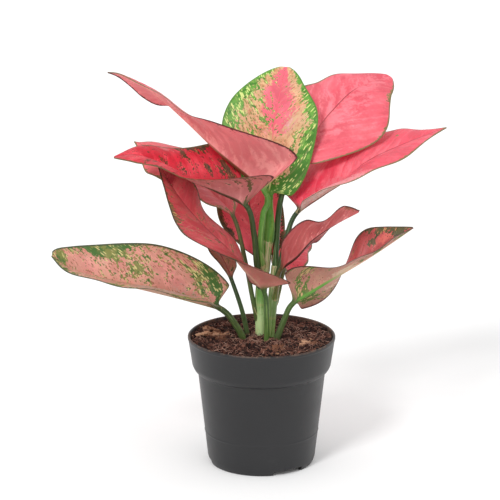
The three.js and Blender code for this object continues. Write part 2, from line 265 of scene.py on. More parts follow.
@dataclass
class Form:
    """A mesh in the making: its points in millimetres, its faces, and numbers kept at its points."""

    points: Array
    quads: Array
    triangles: Array
    marks: dict[str, Array]

    @staticmethod
    def skin(rings: Array, marks: dict[str, Array] | None = None) -> "Form":
        """A closed skin over rings of points, with a fan to a hub in the first and last ring.

        Args:
            rings: Points, by ring and by place round it.
            marks: Numbers for each point, by ring and by place, as three columns.

        Returns:
            The closed form.
        """
        count, round_it = rings.shape[:2]
        index = np.arange(count * round_it).reshape(count, round_it)
        after = np.roll(index, -1, axis=1)
        quads = np.stack([index[:-1], after[:-1], after[1:], index[1:]], -1).reshape(-1, 4)
        hubs = count * round_it
        first = np.stack([np.full(round_it, hubs), after[0], index[0]], -1)
        last = np.stack([np.full(round_it, hubs + 1), index[-1], after[-1]], -1)
        ends = rings[[0, -1]].mean(axis=1)
        kept = {
            name: np.concatenate([values.reshape(-1, 3), values[[0, -1]].mean(axis=1)])
            for name, values in (marks or {}).items()
        }
        points = np.concatenate([rings.reshape(-1, 3), ends])
        return Form(points, quads, np.concatenate([first, last]), kept)

    @staticmethod
    def sheet(middle: Array, normals: Array, thickness: Array, marks: dict[str, Array]) -> "Form":
        """A thin closed plate: a grid set off to both sides of itself, with strips round its border.

        Args:
            middle: Points, by row and column.
            normals: The unit way out at each.
            thickness: The plate's thickness at each, with a last axis of one.
            marks: Numbers for each point, as three columns.

        Returns:
            The closed form.
        """
        rows, columns = middle.shape[:2]
        count = rows * columns
        index = np.arange(count).reshape(rows, columns)
        square = np.stack([index[:-1, :-1], index[:-1, 1:], index[1:, 1:], index[1:, :-1]], -1)
        front = square.reshape(-1, 4)
        rim = np.concatenate([index[0], index[1:, -1], index[-1, -2::-1], index[-2:0:-1, 0]])
        beyond = np.roll(rim, -1)
        border = np.stack([rim, rim + count, beyond + count, beyond], -1)
        outer, inner = middle + normals * thickness / 2, middle - normals * thickness / 2
        points = np.concatenate([outer.reshape(-1, 3), inner.reshape(-1, 3)])
        kept = {name: np.tile(values.reshape(-1, 3), (2, 1)) for name, values in marks.items()}
        quads = np.concatenate([front, front[:, ::-1] + count, border])
        return Form(points, quads, np.zeros((0, 3), int), kept)

    @staticmethod
    def joined(forms: list["Form"]) -> "Form":
        """Several forms as one, each keeping its own faces and marks."""
        starts = np.concatenate([[0], np.cumsum([len(form.points) for form in forms])[:-1]])
        return Form(
            np.concatenate([form.points for form in forms]),
            np.concatenate([form.quads + start for form, start in zip(forms, starts)]),
            np.concatenate([form.triangles + start for form, start in zip(forms, starts)]),
            {name: np.concatenate([form.marks[name] for form in forms]) for name in forms[0].marks},
        )

    def piece(self, name: str, material: bpy.types.Material, crease: float | None = None) -> bpy.types.Object:
        """Makes the mesh and its object, in metres, with its place in its mesh.

        Args:
            name: The piece's name.
            material: What it is dressed in.
            crease: Angle in degrees past which an edge stays sharp, or None for none.

        Returns:
            The new object, linked to the scene.
        """
        mesh = bpy.data.meshes.new(name)
        mesh.from_pydata(self.points * MM, [], self.quads.tolist() + self.triangles.tolist())
        for title, values in self.marks.items():
            mark = mesh.attributes.new(title, "FLOAT_VECTOR", "POINT")
            mark.data.foreach_set("vector", np.ascontiguousarray(values, np.float32).ravel())
        mesh.shade_smooth()
        if crease is not None:
            mesh.set_sharp_from_angle(angle=math.radians(crease))
        mesh.materials.append(material)
        item = bpy.data.objects.new(name, mesh)
        bpy.context.scene.collection.objects.link(item)
        return item


def settle(item: bpy.types.Object, nodes: tuple[str, ...] = ()) -> None:
    """Rides a piece on the plant's one body, hides the solids that it stands for, and reports it.

    Args:
        item: The finished piece.
        nodes: The solids that it stands for.
    """
    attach(item, "root")
    if nodes:
        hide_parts(*nodes)
    LOG.info("%s: %d faces", item.name, len(item.data.polygons))


# ==== shading =======================================================================================
def linear(paint: Paint) -> tuple[float, float, float, float]:
    """A screen colour, 0 to 255, as linear light: above 0.04 it is ((c + 0.055) / 1.055) to the 2.4."""
    share = np.asarray(paint, float) / 255.0
    light = np.where(share <= 0.04045, share / 12.92, ((share + 0.055) / 1.055) ** 2.4)
    return (*light.tolist(), 1.0)


class Wire:
    """A node's output as a value to reckon with: each sum adds a maths node to its graph."""

    def __init__(self, graph: "Graph", socket: bpy.types.NodeSocket) -> None:
        """Keeps the graph and the output."""
        self.graph = graph
        self.socket = socket

    def __add__(self, other: object) -> "Wire":
        """This and another added up."""
        return self.graph.maths("ADD", self, other)

    def __mul__(self, other: object) -> "Wire":
        """This times another."""
        return self.graph.maths("MULTIPLY", self, other)

    def __sub__(self, other: object) -> "Wire":
        """This less another."""
        return self.graph.maths("SUBTRACT", self, other)

    def __rsub__(self, other: object) -> "Wire":
        """Another less this."""
        return self.graph.maths("SUBTRACT", other, self)

    __radd__ = __add__
    __rmul__ = __mul__


class Graph:
    """Adds nodes to one node tree and joins them up."""

    def __init__(self, tree: bpy.types.NodeTree) -> None:
        """Keeps the tree that nodes are added to."""
        self.tree = tree

    def feed(self, socket: bpy.types.NodeSocket, value: object) -> None:
        """Joins a socket to a wire, or sets its own value."""
        if isinstance(value, Wire):
            self.tree.links.new(value.socket, socket)
        else:
            socket.default_value = value

    def add(self, kind: str, inputs: dict[str | int, object], **settings: object) -> bpy.types.Node:
        """Adds one node.

        Args:
            kind: The node's type.
            inputs: What feeds each of its inputs, by name or place.
            settings: The node's own settings.

        Returns:
            The node.
        """
        node = self.tree.nodes.new(kind)
        for name, value in settings.items():
            setattr(node, name, value)
        for key, value in inputs.items():
            self.feed(node.inputs[key], value)
        return node

    def out(self, node: bpy.types.Node, key: str | int = 0) -> Wire:
        """One of a node's outputs, by name or place."""
        return Wire(self, node.outputs[key])

    def maths(self, operation: str, *values: object) -> Wire:
        """One sum on numbers, such as ADD or MINIMUM."""
        return self.out(self.add("ShaderNodeMath", dict(enumerate(values)), operation=operation))

    def ease(self, value: object, low: object, high: object) -> Wire:
        """Eases from 0 where the value is low to 1 where it is high."""
        inputs = {"Value": value, "From Min": low, "From Max": high}
        return self.out(self.add("ShaderNodeMapRange", inputs, interpolation_type="SMOOTHSTEP"))

    def mix(self, amount: object, first: object, second: object, mode: str = "MIX") -> Wire:
        """Lays the second colour over the first by an amount."""
        inputs = {0: amount, 6: first, 7: second}
        return self.out(self.add("ShaderNodeMix", inputs, data_type="RGBA", blend_type=mode), 2)

    def vector(self, *parts: object) -> Wire:
        """Three numbers as one vector."""
        return self.out(self.add("ShaderNodeCombineXYZ", dict(enumerate(parts))))

    def parts(self, vector: Wire) -> tuple[Wire, ...]:
        """A vector's three numbers."""
        node = self.add("ShaderNodeSeparateXYZ", {0: vector})
        return tuple(self.out(node, i) for i in range(3))

    def noise(self, place: Wire, scale: float, detail: float = 2.0, rough: float = 0.5) -> Wire:
        """Cloudy noise, about 0 to 1 round a mean of a half."""
        inputs = {"Vector": place, "Scale": scale, "Detail": detail, "Roughness": rough}
        return self.out(self.add("ShaderNodeTexNoise", inputs))

    def swing(self, noise: Wire, amount: float) -> Wire:
        """Noise turned to swing evenly about nothing, by an amount."""
        return (noise - 0.5) * amount

    def object_place(self) -> Wire:
        """Each point's place in its piece's own frame, in metres."""
        return self.out(self.add("ShaderNodeTexCoord", {}), "Object")

    def mark(self, name: str) -> Wire:
        """The numbers kept at a mesh's points under a name."""
        return self.out(self.add("ShaderNodeAttribute", {}, attribute_name=name), "Vector")


class Socket(Enum):
    """The kinds of socket that the node groups have."""

    NUMBER = "NodeSocketFloat"
    COLOUR = "NodeSocketColor"
    VECTOR = "NodeSocketVector"


class Effect:
    """A node group with named inputs and outputs, built once and placed in many materials."""

    def __init__(self, name: str, inputs: dict[str, Socket], outputs: dict[str, Socket]) -> None:
        """Makes the group and its sockets.

        Args:
            name: The group's name.
            inputs: Its inputs by name.
            outputs: Its outputs by name.
        """
        self.tree = bpy.data.node_groups.new(name, "ShaderNodeTree")
        for title, kind in inputs.items():
            self.tree.interface.new_socket(name=title, in_out="INPUT", socket_type=kind.value)
        for title, kind in outputs.items():
            self.tree.interface.new_socket(name=title, in_out="OUTPUT", socket_type=kind.value)
        self.graph = Graph(self.tree)
        given = self.tree.nodes.new("NodeGroupInput").outputs
        self.given = {title: Wire(self.graph, given[title]) for title in inputs}
        self.result = self.tree.nodes.new("NodeGroupOutput").inputs

    def put_out(self, **values: object) -> None:
        """Joins values to the group's outputs by name."""
        for name, value in values.items():
            self.graph.feed(self.result[name], value)

    def place(self, graph: Graph, inputs: dict[str, object]) -> dict[str, Wire]:
        """Places the group in a material.

        Args:
            graph: The material's graph.
            inputs: What feeds each input by name.

        Returns:
            The placed group's outputs by name.
        """
        node = graph.add("ShaderNodeGroup", inputs, node_tree=self.tree)
        return {output.name: Wire(graph, output) for output in node.outputs}


class Coat:
    """A material with its graph and its one surface shader."""

    def __init__(self, name: str) -> None:
        """Makes the material, with its Principled BSDF."""
        self.material = bpy.data.materials.new(name)
        self.material.use_nodes = True
        self.graph = Graph(self.material.node_tree)
        self.inputs = self.material.node_tree.nodes["Principled BSDF"].inputs

    def feed(self, **values: object) -> None:
        """Feeds the shader's inputs, or sets those that don't change over the surface, by name with
        _ for each space."""
        for name, value in values.items():
            self.graph.feed(self.inputs[name.replace("_", " ")], value)

    def bump(self, height: Wire, strength: float, depth: float) -> None:
        """Feeds the shader's normal.

        Args:
            height: The surface's height, about 0 to 1.
            strength: How much of it shows.
            depth: What a height of 1 stands for, in mm.
        """
        inputs = {"Strength": strength, "Distance": depth * MM, "Height": height}
        node = self.graph.add("ShaderNodeBump", inputs)
        self.feed(Normal=self.graph.out(node, "Normal"))


def stalk_effect() -> Effect:
    """The skin of a petiole or cane: a colour low down that changes to another above, with fine
    lengthwise lines and faint mottling.

    Returns:
        The node group.
    """
    inputs = {"Place": Socket.VECTOR} | dict.fromkeys(("Rise", "Seed"), Socket.NUMBER)
    inputs |= dict.fromkeys(("Low", "High", "Line"), Socket.COLOUR)
    effect = Effect("stalk_skin", inputs, {"Colour": Socket.COLOUR, "Relief": Socket.NUMBER})
    g, given = effect.graph, effect.given
    across, along, _ = g.parts(given["Place"])
    lines = g.noise(g.vector(across * 1.1, along * 0.03, given["Seed"]), 1.0)
    mottle = g.noise(g.vector(across, along, given["Seed"]), 0.35)
    rise = given["Rise"] + g.swing(mottle, 0.35)
    colour = g.mix(g.ease(rise, 0.0, 1.0), given["Low"], given["High"])
    colour = g.mix(g.ease(lines, 0.5, 0.72) * 0.75, colour, given["Line"])
    colour = g.mix(g.ease(mottle, 0.5, 0.85), colour, MOTTLE_TINT, "MULTIPLY")
    effect.put_out(Colour=colour, Relief=lines + mottle * 0.4)
    return effect


# ==== leaves ========================================================================================
@dataclass(frozen=True)
class FacePaint:
    """The colours and strengths of one face of a blade."""

    body: Paint
    marble: Paint
    heart: Paint
    pale: Paint
    green: Paint
    deep: Paint
    fleck: Paint
    speck: Paint
    # line colours the lateral veins and also the soft painted highlights on the blade's folds
    line: Paint
    rib: Paint
    rib_low: Paint
    margin: Paint
    marbling: float = 0.6
    veil: float = 0.35
    flecks: float = 0.35
    specks: float = 0.3
    lines: float = 0.12
    rib_width: float = 1.0
    rib_end: float = 1.0
    margin_width: float = 2.0

    def inputs(self) -> dict[str, object]:
        """Its colours, as linear light, and its strengths, by the names of its group's inputs."""
        return {
            input_title(item.name): linear(value) if isinstance(value, tuple) else value
            for item in fields(self)
            for value in [getattr(self, item.name)]
        }


def input_title(name: str) -> str:
    """The name of the group's input that a field of FacePaint feeds."""
    return name.replace("_", " ").title()


class Lean(Enum):
    """What a soft spot leans the blade to."""

    GREEN = 0
    HEART = 1
    SHADE = 2
    PALE = 3
    SPECK = 4
    DEEP = 5


@dataclass(frozen=True)
class Marking:
    """Where a blade is blotched and where its heart shows, and its soft spots.

    A spot is its middle across, from -1 at the left margin to 1 at the right, and where its vein
    leaves the midrib, from 0 to 1, then its size both ways, and its strength.
    """

    ground: float = 0.0
    border: float = 0.35
    border_from: float = 0.7
    base: float = 0.3
    base_to: float = 0.3
    tip: float = 0.1
    tip_from: float = 0.8
    heart: float = 0.5
    heart_wide: float = 0.5
    heart_from: float = 0.1
    spots: dict[Lean, tuple[Spot, ...]] = field(default_factory=dict)

    def leanings(self, across: Array, along: Array, start: Array) -> tuple[Array, Array]:
        """The leanings over a blade.

        Blotch is the ground, and rises to the border, the base and the tip. Heart is a bell across
        the midrib. Each spot adds a bell exp(-(da/wide)^2 - (ds/long)^2) that follows the veins.

        Args:
            across: From -1 at the left margin to 1 at the right.
            along: From 0 at the base to 1 at the tip.
            start: Where the vein through each point leaves the midrib, from 0 to 1.

        Returns:
            The leanings to blotch, heart and shade, and those to pale, specks and deep.
        """
        total = np.zeros((*along.shape, len(Lean)))
        blotch = self.ground + self.border * smooth(np.abs(across), self.border_from, 1.0)
        blotch = blotch + self.base * (1.0 - smooth(along, 0.0, self.base_to))
        total[..., Lean.GREEN.value] = blotch + self.tip * smooth(along, self.tip_from, 1.0)
        heart = self.heart * np.exp(-((across / self.heart_wide) ** 2))
        total[..., Lean.HEART.value] = heart * smooth(along, self.heart_from, self.heart_from + 0.2)
        for lean, spots in self.spots.items():
            for middle, vein, wide, long, strength in spots:
                off = ((across - middle) / wide) ** 2 + ((start - vein) / long) ** 2
                total[..., lean.value] += strength * np.exp(-off)
        return total[..., :3], total[..., 3:]


FACE_MARKS = ("Place", "Vein", "Part", "Tint", "Tone")


def face_effect() -> Effect:
    """One face of a blade: a marbled field with a heart along the midrib, pale spots and soft painted
    highlights on its folds, ragged blotches that follow the lateral veins, flecks, specks, veins,
    midrib and margin.

    Place is (across, along, from the margin) in mm, Vein is (vein count, from the midrib in mm,
    half width in mm), Part is (face, blade, fraction along), Tint is the leanings to blotch, heart
    and shade, and Tone those to pale, specks and deep.

    Returns:
        The node group.
    """
    inputs = dict.fromkeys(FACE_MARKS, Socket.VECTOR) | {"Seed": Socket.NUMBER}
    for item in fields(FacePaint):
        inputs[input_title(item.name)] = Socket.COLOUR if item.type is Paint else Socket.NUMBER
    outputs = {"Colour": Socket.COLOUR, "Relief": Socket.NUMBER, "Roughness": Socket.NUMBER}
    effect = Effect("leaf_face", inputs, outputs)
    g, given = effect.graph, effect.given
    across, along, edge = g.parts(given["Place"])
    count, reach, _ = g.parts(given["Vein"])
    _, _, part = g.parts(given["Part"])
    green, heart, shade = g.parts(given["Tint"])
    pale, speck, deep = g.parts(given["Tone"])
    seed = given["Seed"]

    warp = count + g.swing(g.noise(g.vector(across, along, seed * 13.0), 0.09), 1.1)
    streak = g.noise(g.vector(warp * 1.7, reach * 0.09, seed), 1.0, 3.0)
    thread = g.noise(g.vector(warp * 3.6, reach * 0.16, seed + 9.0), 1.0, 3.0, 0.6)
    flat = g.vector(across, along, seed * 31.0)
    cloud = g.noise(flat, 0.06)
    ragged = g.noise(flat, 0.5, 3.0, 0.6)
    fine = g.noise(flat, 1.3)

    marble = g.ease(thread + g.swing(ragged, 1.2) + g.swing(cloud, 0.8), 0.4, 0.62)
    body = g.mix(marble * given["Marbling"], given["Body"], given["Marble"])
    heartness = heart + g.swing(streak, 1.6) + g.swing(thread, 1.0) + g.swing(ragged, 1.0)
    body = g.mix(g.ease(heartness, 0.3, 0.6), body, given["Heart"])
    paleness = pale + g.swing(thread, 1.1) + g.swing(ragged, 1.0)
    body = g.mix(g.ease(paleness, 0.3, 0.65), body, given["Pale"])
    # Painted highlight: large soft patches of the line colour that stand for light on the blade's gentle
    # folds.
    painted_fold_highlight = g.ease(g.noise(flat, 0.035, 3.0, 0.6) + g.swing(streak, 0.5), 0.45, 0.75)
    body = g.mix(painted_fold_highlight * 0.45, body, given["Line"])
    veil = 1.0 - g.ease(streak + g.swing(cloud, 1.6) + g.swing(ragged, 0.6), 0.3, 0.6)
    body = g.mix(veil * given["Veil"], body, VEIL_TINT, "MULTIPLY")

    streaky = g.swing(streak, 1.7) + g.swing(thread, 1.2)
    leaning = green + streaky + g.swing(cloud, 0.9) + g.swing(ragged, 1.4)
    blotch = g.ease(leaning, 0.46, 0.58)
    dark = g.ease(g.noise(flat, 0.22, 3.0) + g.swing(fine, 0.3) + deep, 0.48, 0.62)

    def cells(shift: float, tall: float, wide: float, size: Wire) -> Wire:
        """Scattered spots drawn out along the lateral veins, a random share of them as large as size."""
        spot = g.vector(count * tall, reach * wide, seed + shift)
        found = g.add("ShaderNodeTexVoronoi", {"Vector": spot, "Scale": 1.0, "Randomness": 1.0})
        draw = g.parts(g.out(found, "Color"))[0]
        return g.ease(draw * size - g.out(found, "Distance"), -0.02, 0.1)

    crowded = g.maths("MINIMUM", speck, 1.0)
    near = g.maths("MINIMUM", g.ease(leaning, 0.0, 0.4) + crowded, 1.0)
    specks = cells(0.71, 6.5, 0.5, given["Specks"] + crowded * 0.2) * near
    flecks = cells(0.37, 5.5, 0.33, given["Flecks"] + crowded * 0.35) * blotch
    colour = g.mix(specks, body, given["Speck"])
    colour = g.mix(blotch, colour, g.mix(dark, given["Green"], given["Deep"]))
    colour = g.mix(flecks, colour, given["Fleck"])

    lateral, fifth = (
        g.maths("ABSOLUTE", g.maths("FRACT", turns) - 0.5) for turns in (count, count * 5.0)
    )
    fan = g.ease(lateral, 0.34, 0.5) + g.ease(fifth, 0.3, 0.5) * 0.3
    lines = fan * g.ease(streak, 0.3, 0.6)
    colour = g.mix(lines * given["Lines"], colour, given["Line"])
    taper = g.maths("POWER", g.maths("MAXIMUM", 1.0 - part, 0.0), 0.7) * 0.85 + 0.15
    width = given["Rib Width"] * taper
    rib = 1.0 - g.ease(reach, width * 0.55, width)
    rib = rib * (1.0 - g.ease(part, given["Rib End"], given["Rib End"] + 0.15))
    colour = g.mix(rib, colour, g.mix(g.ease(part, 0.25, 0.5), given["Rib Low"], given["Rib"]))
    margin = given["Margin Width"] * (0.1 + ragged * 1.8)
    colour = g.mix(1.0 - g.ease(edge, margin * 0.45, margin), colour, given["Margin"])
    colour = g.mix(g.maths("MINIMUM", shade, 1.0) * 0.75, colour, SHADE_TINT, "MULTIPLY")

    relief = lines * 0.6 + fine * 0.35 + ragged * 0.3
    roughness = 0.45 + g.swing(ragged, 0.2) + blotch * 0.03
    effect.put_out(Colour=colour, Relief=relief, Roughness=roughness)
    return effect


@dataclass(frozen=True)
class LeafLook:
    """A leaf's colours and markings, above and below, and its petiole's."""

    upper: FacePaint
    under: FacePaint
    marking: Marking
    stalk_low: Paint
    stalk_high: Paint
    stalk_line: Paint
    slot: str
    seed: float


@dataclass(frozen=True)
class LeafForm:
    """A leaf's shape: the thickness and line of its petiole, its midrib from there to the tip, the way
    from the midrib to the left and right margins at four places along the blade, and how much it is
    drawn out to its tip. If it has a sheath: which way round the petiole the sheath's back is, how
    long it is, and how far up it stays wide."""

    node: str
    radius: float
    stalk: tuple[Point, ...]
    rib: tuple[Point, ...]
    left: tuple[Point, ...]
    right: tuple[Point, ...]
    look: LeafLook
    taper: float = 0.45
    clasp: float | None = None
    sheath_length: float = 26.0
    sheath_hold: float = 1.0


class Leaf:
    """One leaf grown as one: a petiole that flattens into a folded, veined blade."""

    HALF_COLUMNS = 20
    BLADE_STATIONS = 150
    STALK_STATIONS = 26

    def __init__(self, form: LeafForm) -> None:
        """Lays out the petiole's and the blade's stations along the leaf's one line."""
        self.form = form
        line = spline(form.stalk + form.rib)
        base = SPAN_STEPS * (len(form.stalk) - 1)
        self.stalk_line = line[: base + 1]
        even = np.linspace(0.0, 1.0, self.BLADE_STATIONS)
        self.along = TIP * ((1.0 - END_CROWDING) * even + END_CROWDING * smooth(even, 0, 1))
        self.stalk_along = np.linspace(0.0, 1.0, self.STALK_STATIONS, endpoint=False)
        self.middle, self.tangent, self.length = at_length(line[base:], self.along)
        ends = at_length(self.stalk_line, self.stalk_along)
        self.stalk_middle, self.stalk_tangent, self.stalk_length = ends

    def outline(self) -> Array:
        """The blade's half width over its chord: the sine of pi t^OUTLINE_LEAN, raised to
        OUTLINE_POWER, and to the taper more towards the tip."""
        wave = np.sin(np.pi * self.along**OUTLINE_LEAN)
        power = OUTLINE_POWER + self.form.taper * smooth(self.along, 0.7, 1.0)
        return np.maximum(wave, 0.0) ** power

    def round_rings(self, middle: Array, tangent: Array, radius: Array) -> Array:
        """Round sections of the petiole, from the left over the top to the right and back below.

        The way across is that from the blade's left margin to its right, made square to the line.

        Args:
            middle: The line's points.
            tangent: Its directions.
            radius: The section's radius at each.

        Returns:
            Points by station and place round it.
        """
        across, up = square_to(tangent, np.subtract(self.form.right[0], self.form.left[0]))
        count = 4 * self.HALF_COLUMNS
        angle = np.pi - 2.0 * np.pi * np.arange(count) / count
        flat = 1.0 - 0.1 * np.clip(np.sin(angle), 0.0, 1.0) ** 4
        ways = spokes(across, up, np.cos(angle), np.sin(angle) * flat)
        return middle[:, None] + radius[:, None, None] * ways

    @staticmethod
    def vein_foot(run: Array, reach: Array, out: Array) -> Array:
        """How far along the midrib the lateral vein through a point leaves it: the point's own place
        less VEIN_LEAN, and up to VEIN_BEND more near the margin, for each mm out."""
        return run - reach * (VEIN_LEAN + VEIN_BEND * out)

    def half(self, side: int) -> tuple[Array, ...]:
        """One half of the blade, from midrib to margin.

        A point lies out along its chord, raised by a camber of sin(pi out), a margin wave that
        grows with out squared, a shallow trough along each lateral vein and a swell between them.

        Args:
            side: 0 for the left half and 1 for the right.

        Returns:
            The mid-surface points, the way up, the distance out, the half width and the vein count.
        """
        chords = self.form.left if side == 0 else self.form.right
        part = np.clip((self.along - FIRST_CHORD) / (LAST_CHORD - FIRST_CHORD), 0.0, 1.0)
        chord = at_parameter(spline(chords), part)
        shape = self.outline()
        up = unit(np.cross(self.tangent, chord) if side == 0 else np.cross(chord, self.tangent))
        out = np.sin(0.5 * np.pi * np.linspace(0.0, 1.0, self.HALF_COLUMNS + 1))
        out = out**COLUMN_CROWDING
        width = (np.linalg.norm(chord, axis=1) * shape)[:, None]
        reach = width * out
        run = (self.along * self.length)[:, None]
        count = (self.vein_foot(run, reach, out) + VEIN_START) / VEIN_SPACING
        trough = np.exp(-(((np.abs(count % 1.0 - 0.5) - 0.5) * VEIN_SPACING / TROUGH_WIDTH) ** 2))
        calm = smooth(reach, 0.5, 5.0) * (1.0 - out**3) * smooth(width, 4.0, 14.0)
        wave = np.sin(2.0 * np.pi * (MARGIN_WAVES * self.along + side / 2.0))[:, None]
        rise = CAMBER * width * np.sin(np.pi * out)
        rise = rise + MARGIN_WAVE * wave * out**2 * np.sqrt(shape)[:, None]
        rise = rise + calm * (SWELL - TROUGH_DEPTH * trough)
        points = self.middle[:, None] + (chord * shape[:, None])[:, None] * out[None, :, None]
        points = points + up[:, None] * rise[..., None]
        ups = np.broadcast_to(up[:, None], points.shape)
        return points, ups, reach, np.broadcast_to(width, reach.shape), count

    def rings(self) -> tuple[Array, dict[str, Array]]:
        """The whole leaf as rings of points from its seat to its tip, with their marks.

        Returns:
            The rings, and the marks place, vein, part, tint and tone.
        """
        left, right = self.half(0), self.half(1)
        sides = [np.concatenate([a[:, :0:-1], b], axis=1) for a, b in zip(left, right)]
        points, ups, reach, width, count = sides
        centre = self.HALF_COLUMNS
        ups = ups.copy()
        ups[:, centre] = unit(left[1][:, 0] + right[1][:, 0])
        sign = np.sign(np.arange(-centre, centre + 1))[None, :]
        out = reach / np.maximum(width, 1e-6)
        half = 0.5 * BLADE_THICKNESS * np.sqrt(np.maximum(1.0 - out**8, 0.0))
        along = np.broadcast_to(self.along[:, None], reach.shape)
        depth = self.form.radius * (1.0 - along) ** 0.8
        keel = depth * np.exp(-((reach / (KEEL_SPREAD * depth + KEEL_LEAST)) ** 2))
        groove = GROOVE_DEPTH * np.exp(-((reach / GROOVE_WIDTH) ** 2)) * (1.0 - along) ** 0.5
        above = points + ups * (half - groove)[..., None]
        below = points - ups * (half + keel)[..., None]

        def whole(top: Array, bottom: Array) -> Array:
            """A ring's points over the top, then back below without the margins' own."""
            return np.concatenate([top, bottom[:, -2:0:-1]], axis=1)

        blade = whole(above, below)
        flatness = smooth(self.along, 0.0, FIRST_CHORD)[:, None, None]
        tube = self.round_rings(self.middle, self.tangent, np.full(len(self.along), self.form.radius))
        blade = tube * (1.0 - flatness) + blade * flatness
        radius = self.form.radius * (STALK_FLARE + (1.0 - STALK_FLARE) * self.stalk_along)
        stalk = self.round_rings(self.stalk_middle, self.stalk_tangent, radius)

        edge = (width - reach) + 3.0 * (1.0 - flatness[..., 0])
        run = along * self.length
        face = np.zeros_like(reach)
        face[:, [0, -1]] = 0.5
        is_blade = np.broadcast_to(smooth(self.along, 0.02, 0.07)[:, None], reach.shape)
        place = np.stack([sign * reach, run, edge], -1)
        vein = np.stack([count + RIGHT_VEINS * (sign > 0), reach, width], -1)
        over = np.stack([face, is_blade, along], -1)
        under = np.stack([np.ones_like(face), is_blade, along], -1)
        start = self.vein_foot(run, reach, out) / self.length
        tint, tone = self.form.look.marking.leanings(sign * out, along, start)
        marks = {
            "place": whole(place, place),
            "vein": whole(vein, vein),
            "part": whole(over, under),
            "tint": whole(tint, tint),
            "tone": whole(tone, tone),
        }
        around = np.linspace(0.0, 2.0 * np.pi, stalk.shape[1], endpoint=False)[None, :]
        low = np.broadcast_to(self.stalk_along[:, None] - 1.0, stalk.shape[:2])
        stalk_marks = self.bare_marks(around + 0.0 * low, low * self.stalk_length, low, low, 0.0 * low)
        marks = {name: np.concatenate([stalk_marks[name], marks[name]]) for name in marks}
        return np.concatenate([stalk, blade]), marks

    def bare_marks(self, angle: Array, run: Array, count: Array, rise: Array, rim: Array) -> dict[str, Array]:
        """The marks of a petiole's or a sheath's points, which show none of a blade's markings.

        Args:
            angle: Which way round the petiole each point is.
            run: How far along it, in mm.
            count: What stands for the vein count.
            rise: The fraction along it, less 1.
            rim: How dry it is.

        Returns:
            The marks place, vein, part, tint and tone.
        """
        none = np.zeros_like(rise)
        return {
            "place": np.stack([angle * self.form.radius, run, none + 5.0], -1),
            "vein": np.stack([count, none + 2.0, none + 10.0], -1),
            "part": np.stack([none, none, rise], -1),
            "tint": np.stack([none, none, none], -1),
            "tone": np.stack([rim, none, none], -1),
        }

    def material(self, face: Effect, skin: Effect) -> bpy.types.Material:
        """The leaf's own finish: its upper and under faces and its petiole.

        Args:
            face: The node group of one face of a blade.
            skin: The node group of a petiole's skin.

        Returns:
            The material.
        """
        look = self.form.look
        coat = Coat(self.form.node.replace("leaf_", "") + "_leaf_skin")
        g = coat.graph
        shared = {title: g.mark(title.lower()) for title in FACE_MARKS} | {"Seed": look.seed}
        upper, under = (face.place(g, shared | paint.inputs()) for paint in (look.upper, look.under))
        which, is_blade, part = g.parts(shared["Part"])
        below = g.ease(which, 0.4, 0.6)
        stalk = skin.place(g, {
            "Place": shared["Place"],
            "Rise": part + 1.0,
            "Seed": look.seed,
            "Low": linear(look.stalk_low),
            "High": linear(look.stalk_high),
            "Line": linear(look.stalk_line),
        })
        dry = g.parts(shared["Tone"])[0] + (stalk["Relief"] - 0.7) * 1.6
        bare = g.mix(g.ease(dry, 0.4, 0.7) * 0.75, stalk["Colour"], linear(SHEATH_RIM))
        coat.feed(
            Base_Color=g.mix(is_blade, bare, g.mix(below, upper["Colour"], under["Colour"])),
            Roughness=upper["Roughness"] + below * 0.08,
            Specular_IOR_Level=0.35,
            Subsurface_Weight=0.12,
            Subsurface_Radius=(1.0, 0.4, 0.25),
            Subsurface_Scale=1.2 * MM,
        )
        coat.bump(upper["Relief"] * (below * 2.0 - 1.0), 0.5, 0.3)
        return coat.material

    def sheath(self) -> Form:
        """The petiole's clasping foot: a thin open tube round it, flared low down, whose slot widens
        as it rises and whose rim is dry.

        Returns:
            The thin closed plate.
        """
        height = np.linspace(0.0, 1.0, SHEATH_ROWS)
        share = min(self.form.sheath_length / self.stalk_length, SHEATH_LIMIT)
        middle, tangent, _ = at_length(self.stalk_line, height * share)
        right, front = square_to(tangent, (1.0, 0.0, 0.0))
        flare = (1.0 - height**self.form.sheath_hold) ** 2 * smooth(height, -0.15, 0.25)
        radius = self.form.radius * (SHEATH_FIT + SHEATH_FLARE * flare)
        radius = radius + SHEATH_GAP * (1.0 - height) * smooth(height, 0.0, 0.25)
        across = np.linspace(-1.0, 1.0, SHEATH_COLUMNS)
        spread = np.radians(SHEATH_SPREAD - SHEATH_OPENING * smooth(height, 0.0, 0.7))
        angle = self.form.clasp + spread[:, None] * across[None, :]
        normal = spokes(right, front, np.cos(angle), np.sin(angle))
        points = middle[:, None] + radius[:, None, None] * normal
        grid = np.ones_like(angle)
        thickness = SHEATH_THICKNESS * (0.3 + 0.7 * (1.0 - across**4)) * grid
        rim = np.maximum(smooth(np.abs(across), 0.75, 1.0)[None, :], 1.0 - smooth(height, 0.05, 0.3)[:, None])
        run = height[:, None] * grid
        marks = self.bare_marks(angle, run * self.form.sheath_length, run, run - 1.0, rim)
        return Form.sheet(points, normal, thickness[..., None], marks)

    def build(self, face: Effect, skin: Effect) -> None:
        """Makes the leaf's mesh, dresses it and settles it in place of its solid."""
        forms = [Form.skin(*self.rings())]
        if self.form.clasp is not None:
            forms.append(self.sheath())
        name = self.form.node.replace("leaf_", "") + "_leaf"
        item = Form.joined(forms).piece(name, self.material(face, skin))
        settle(item, (self.form.node,))


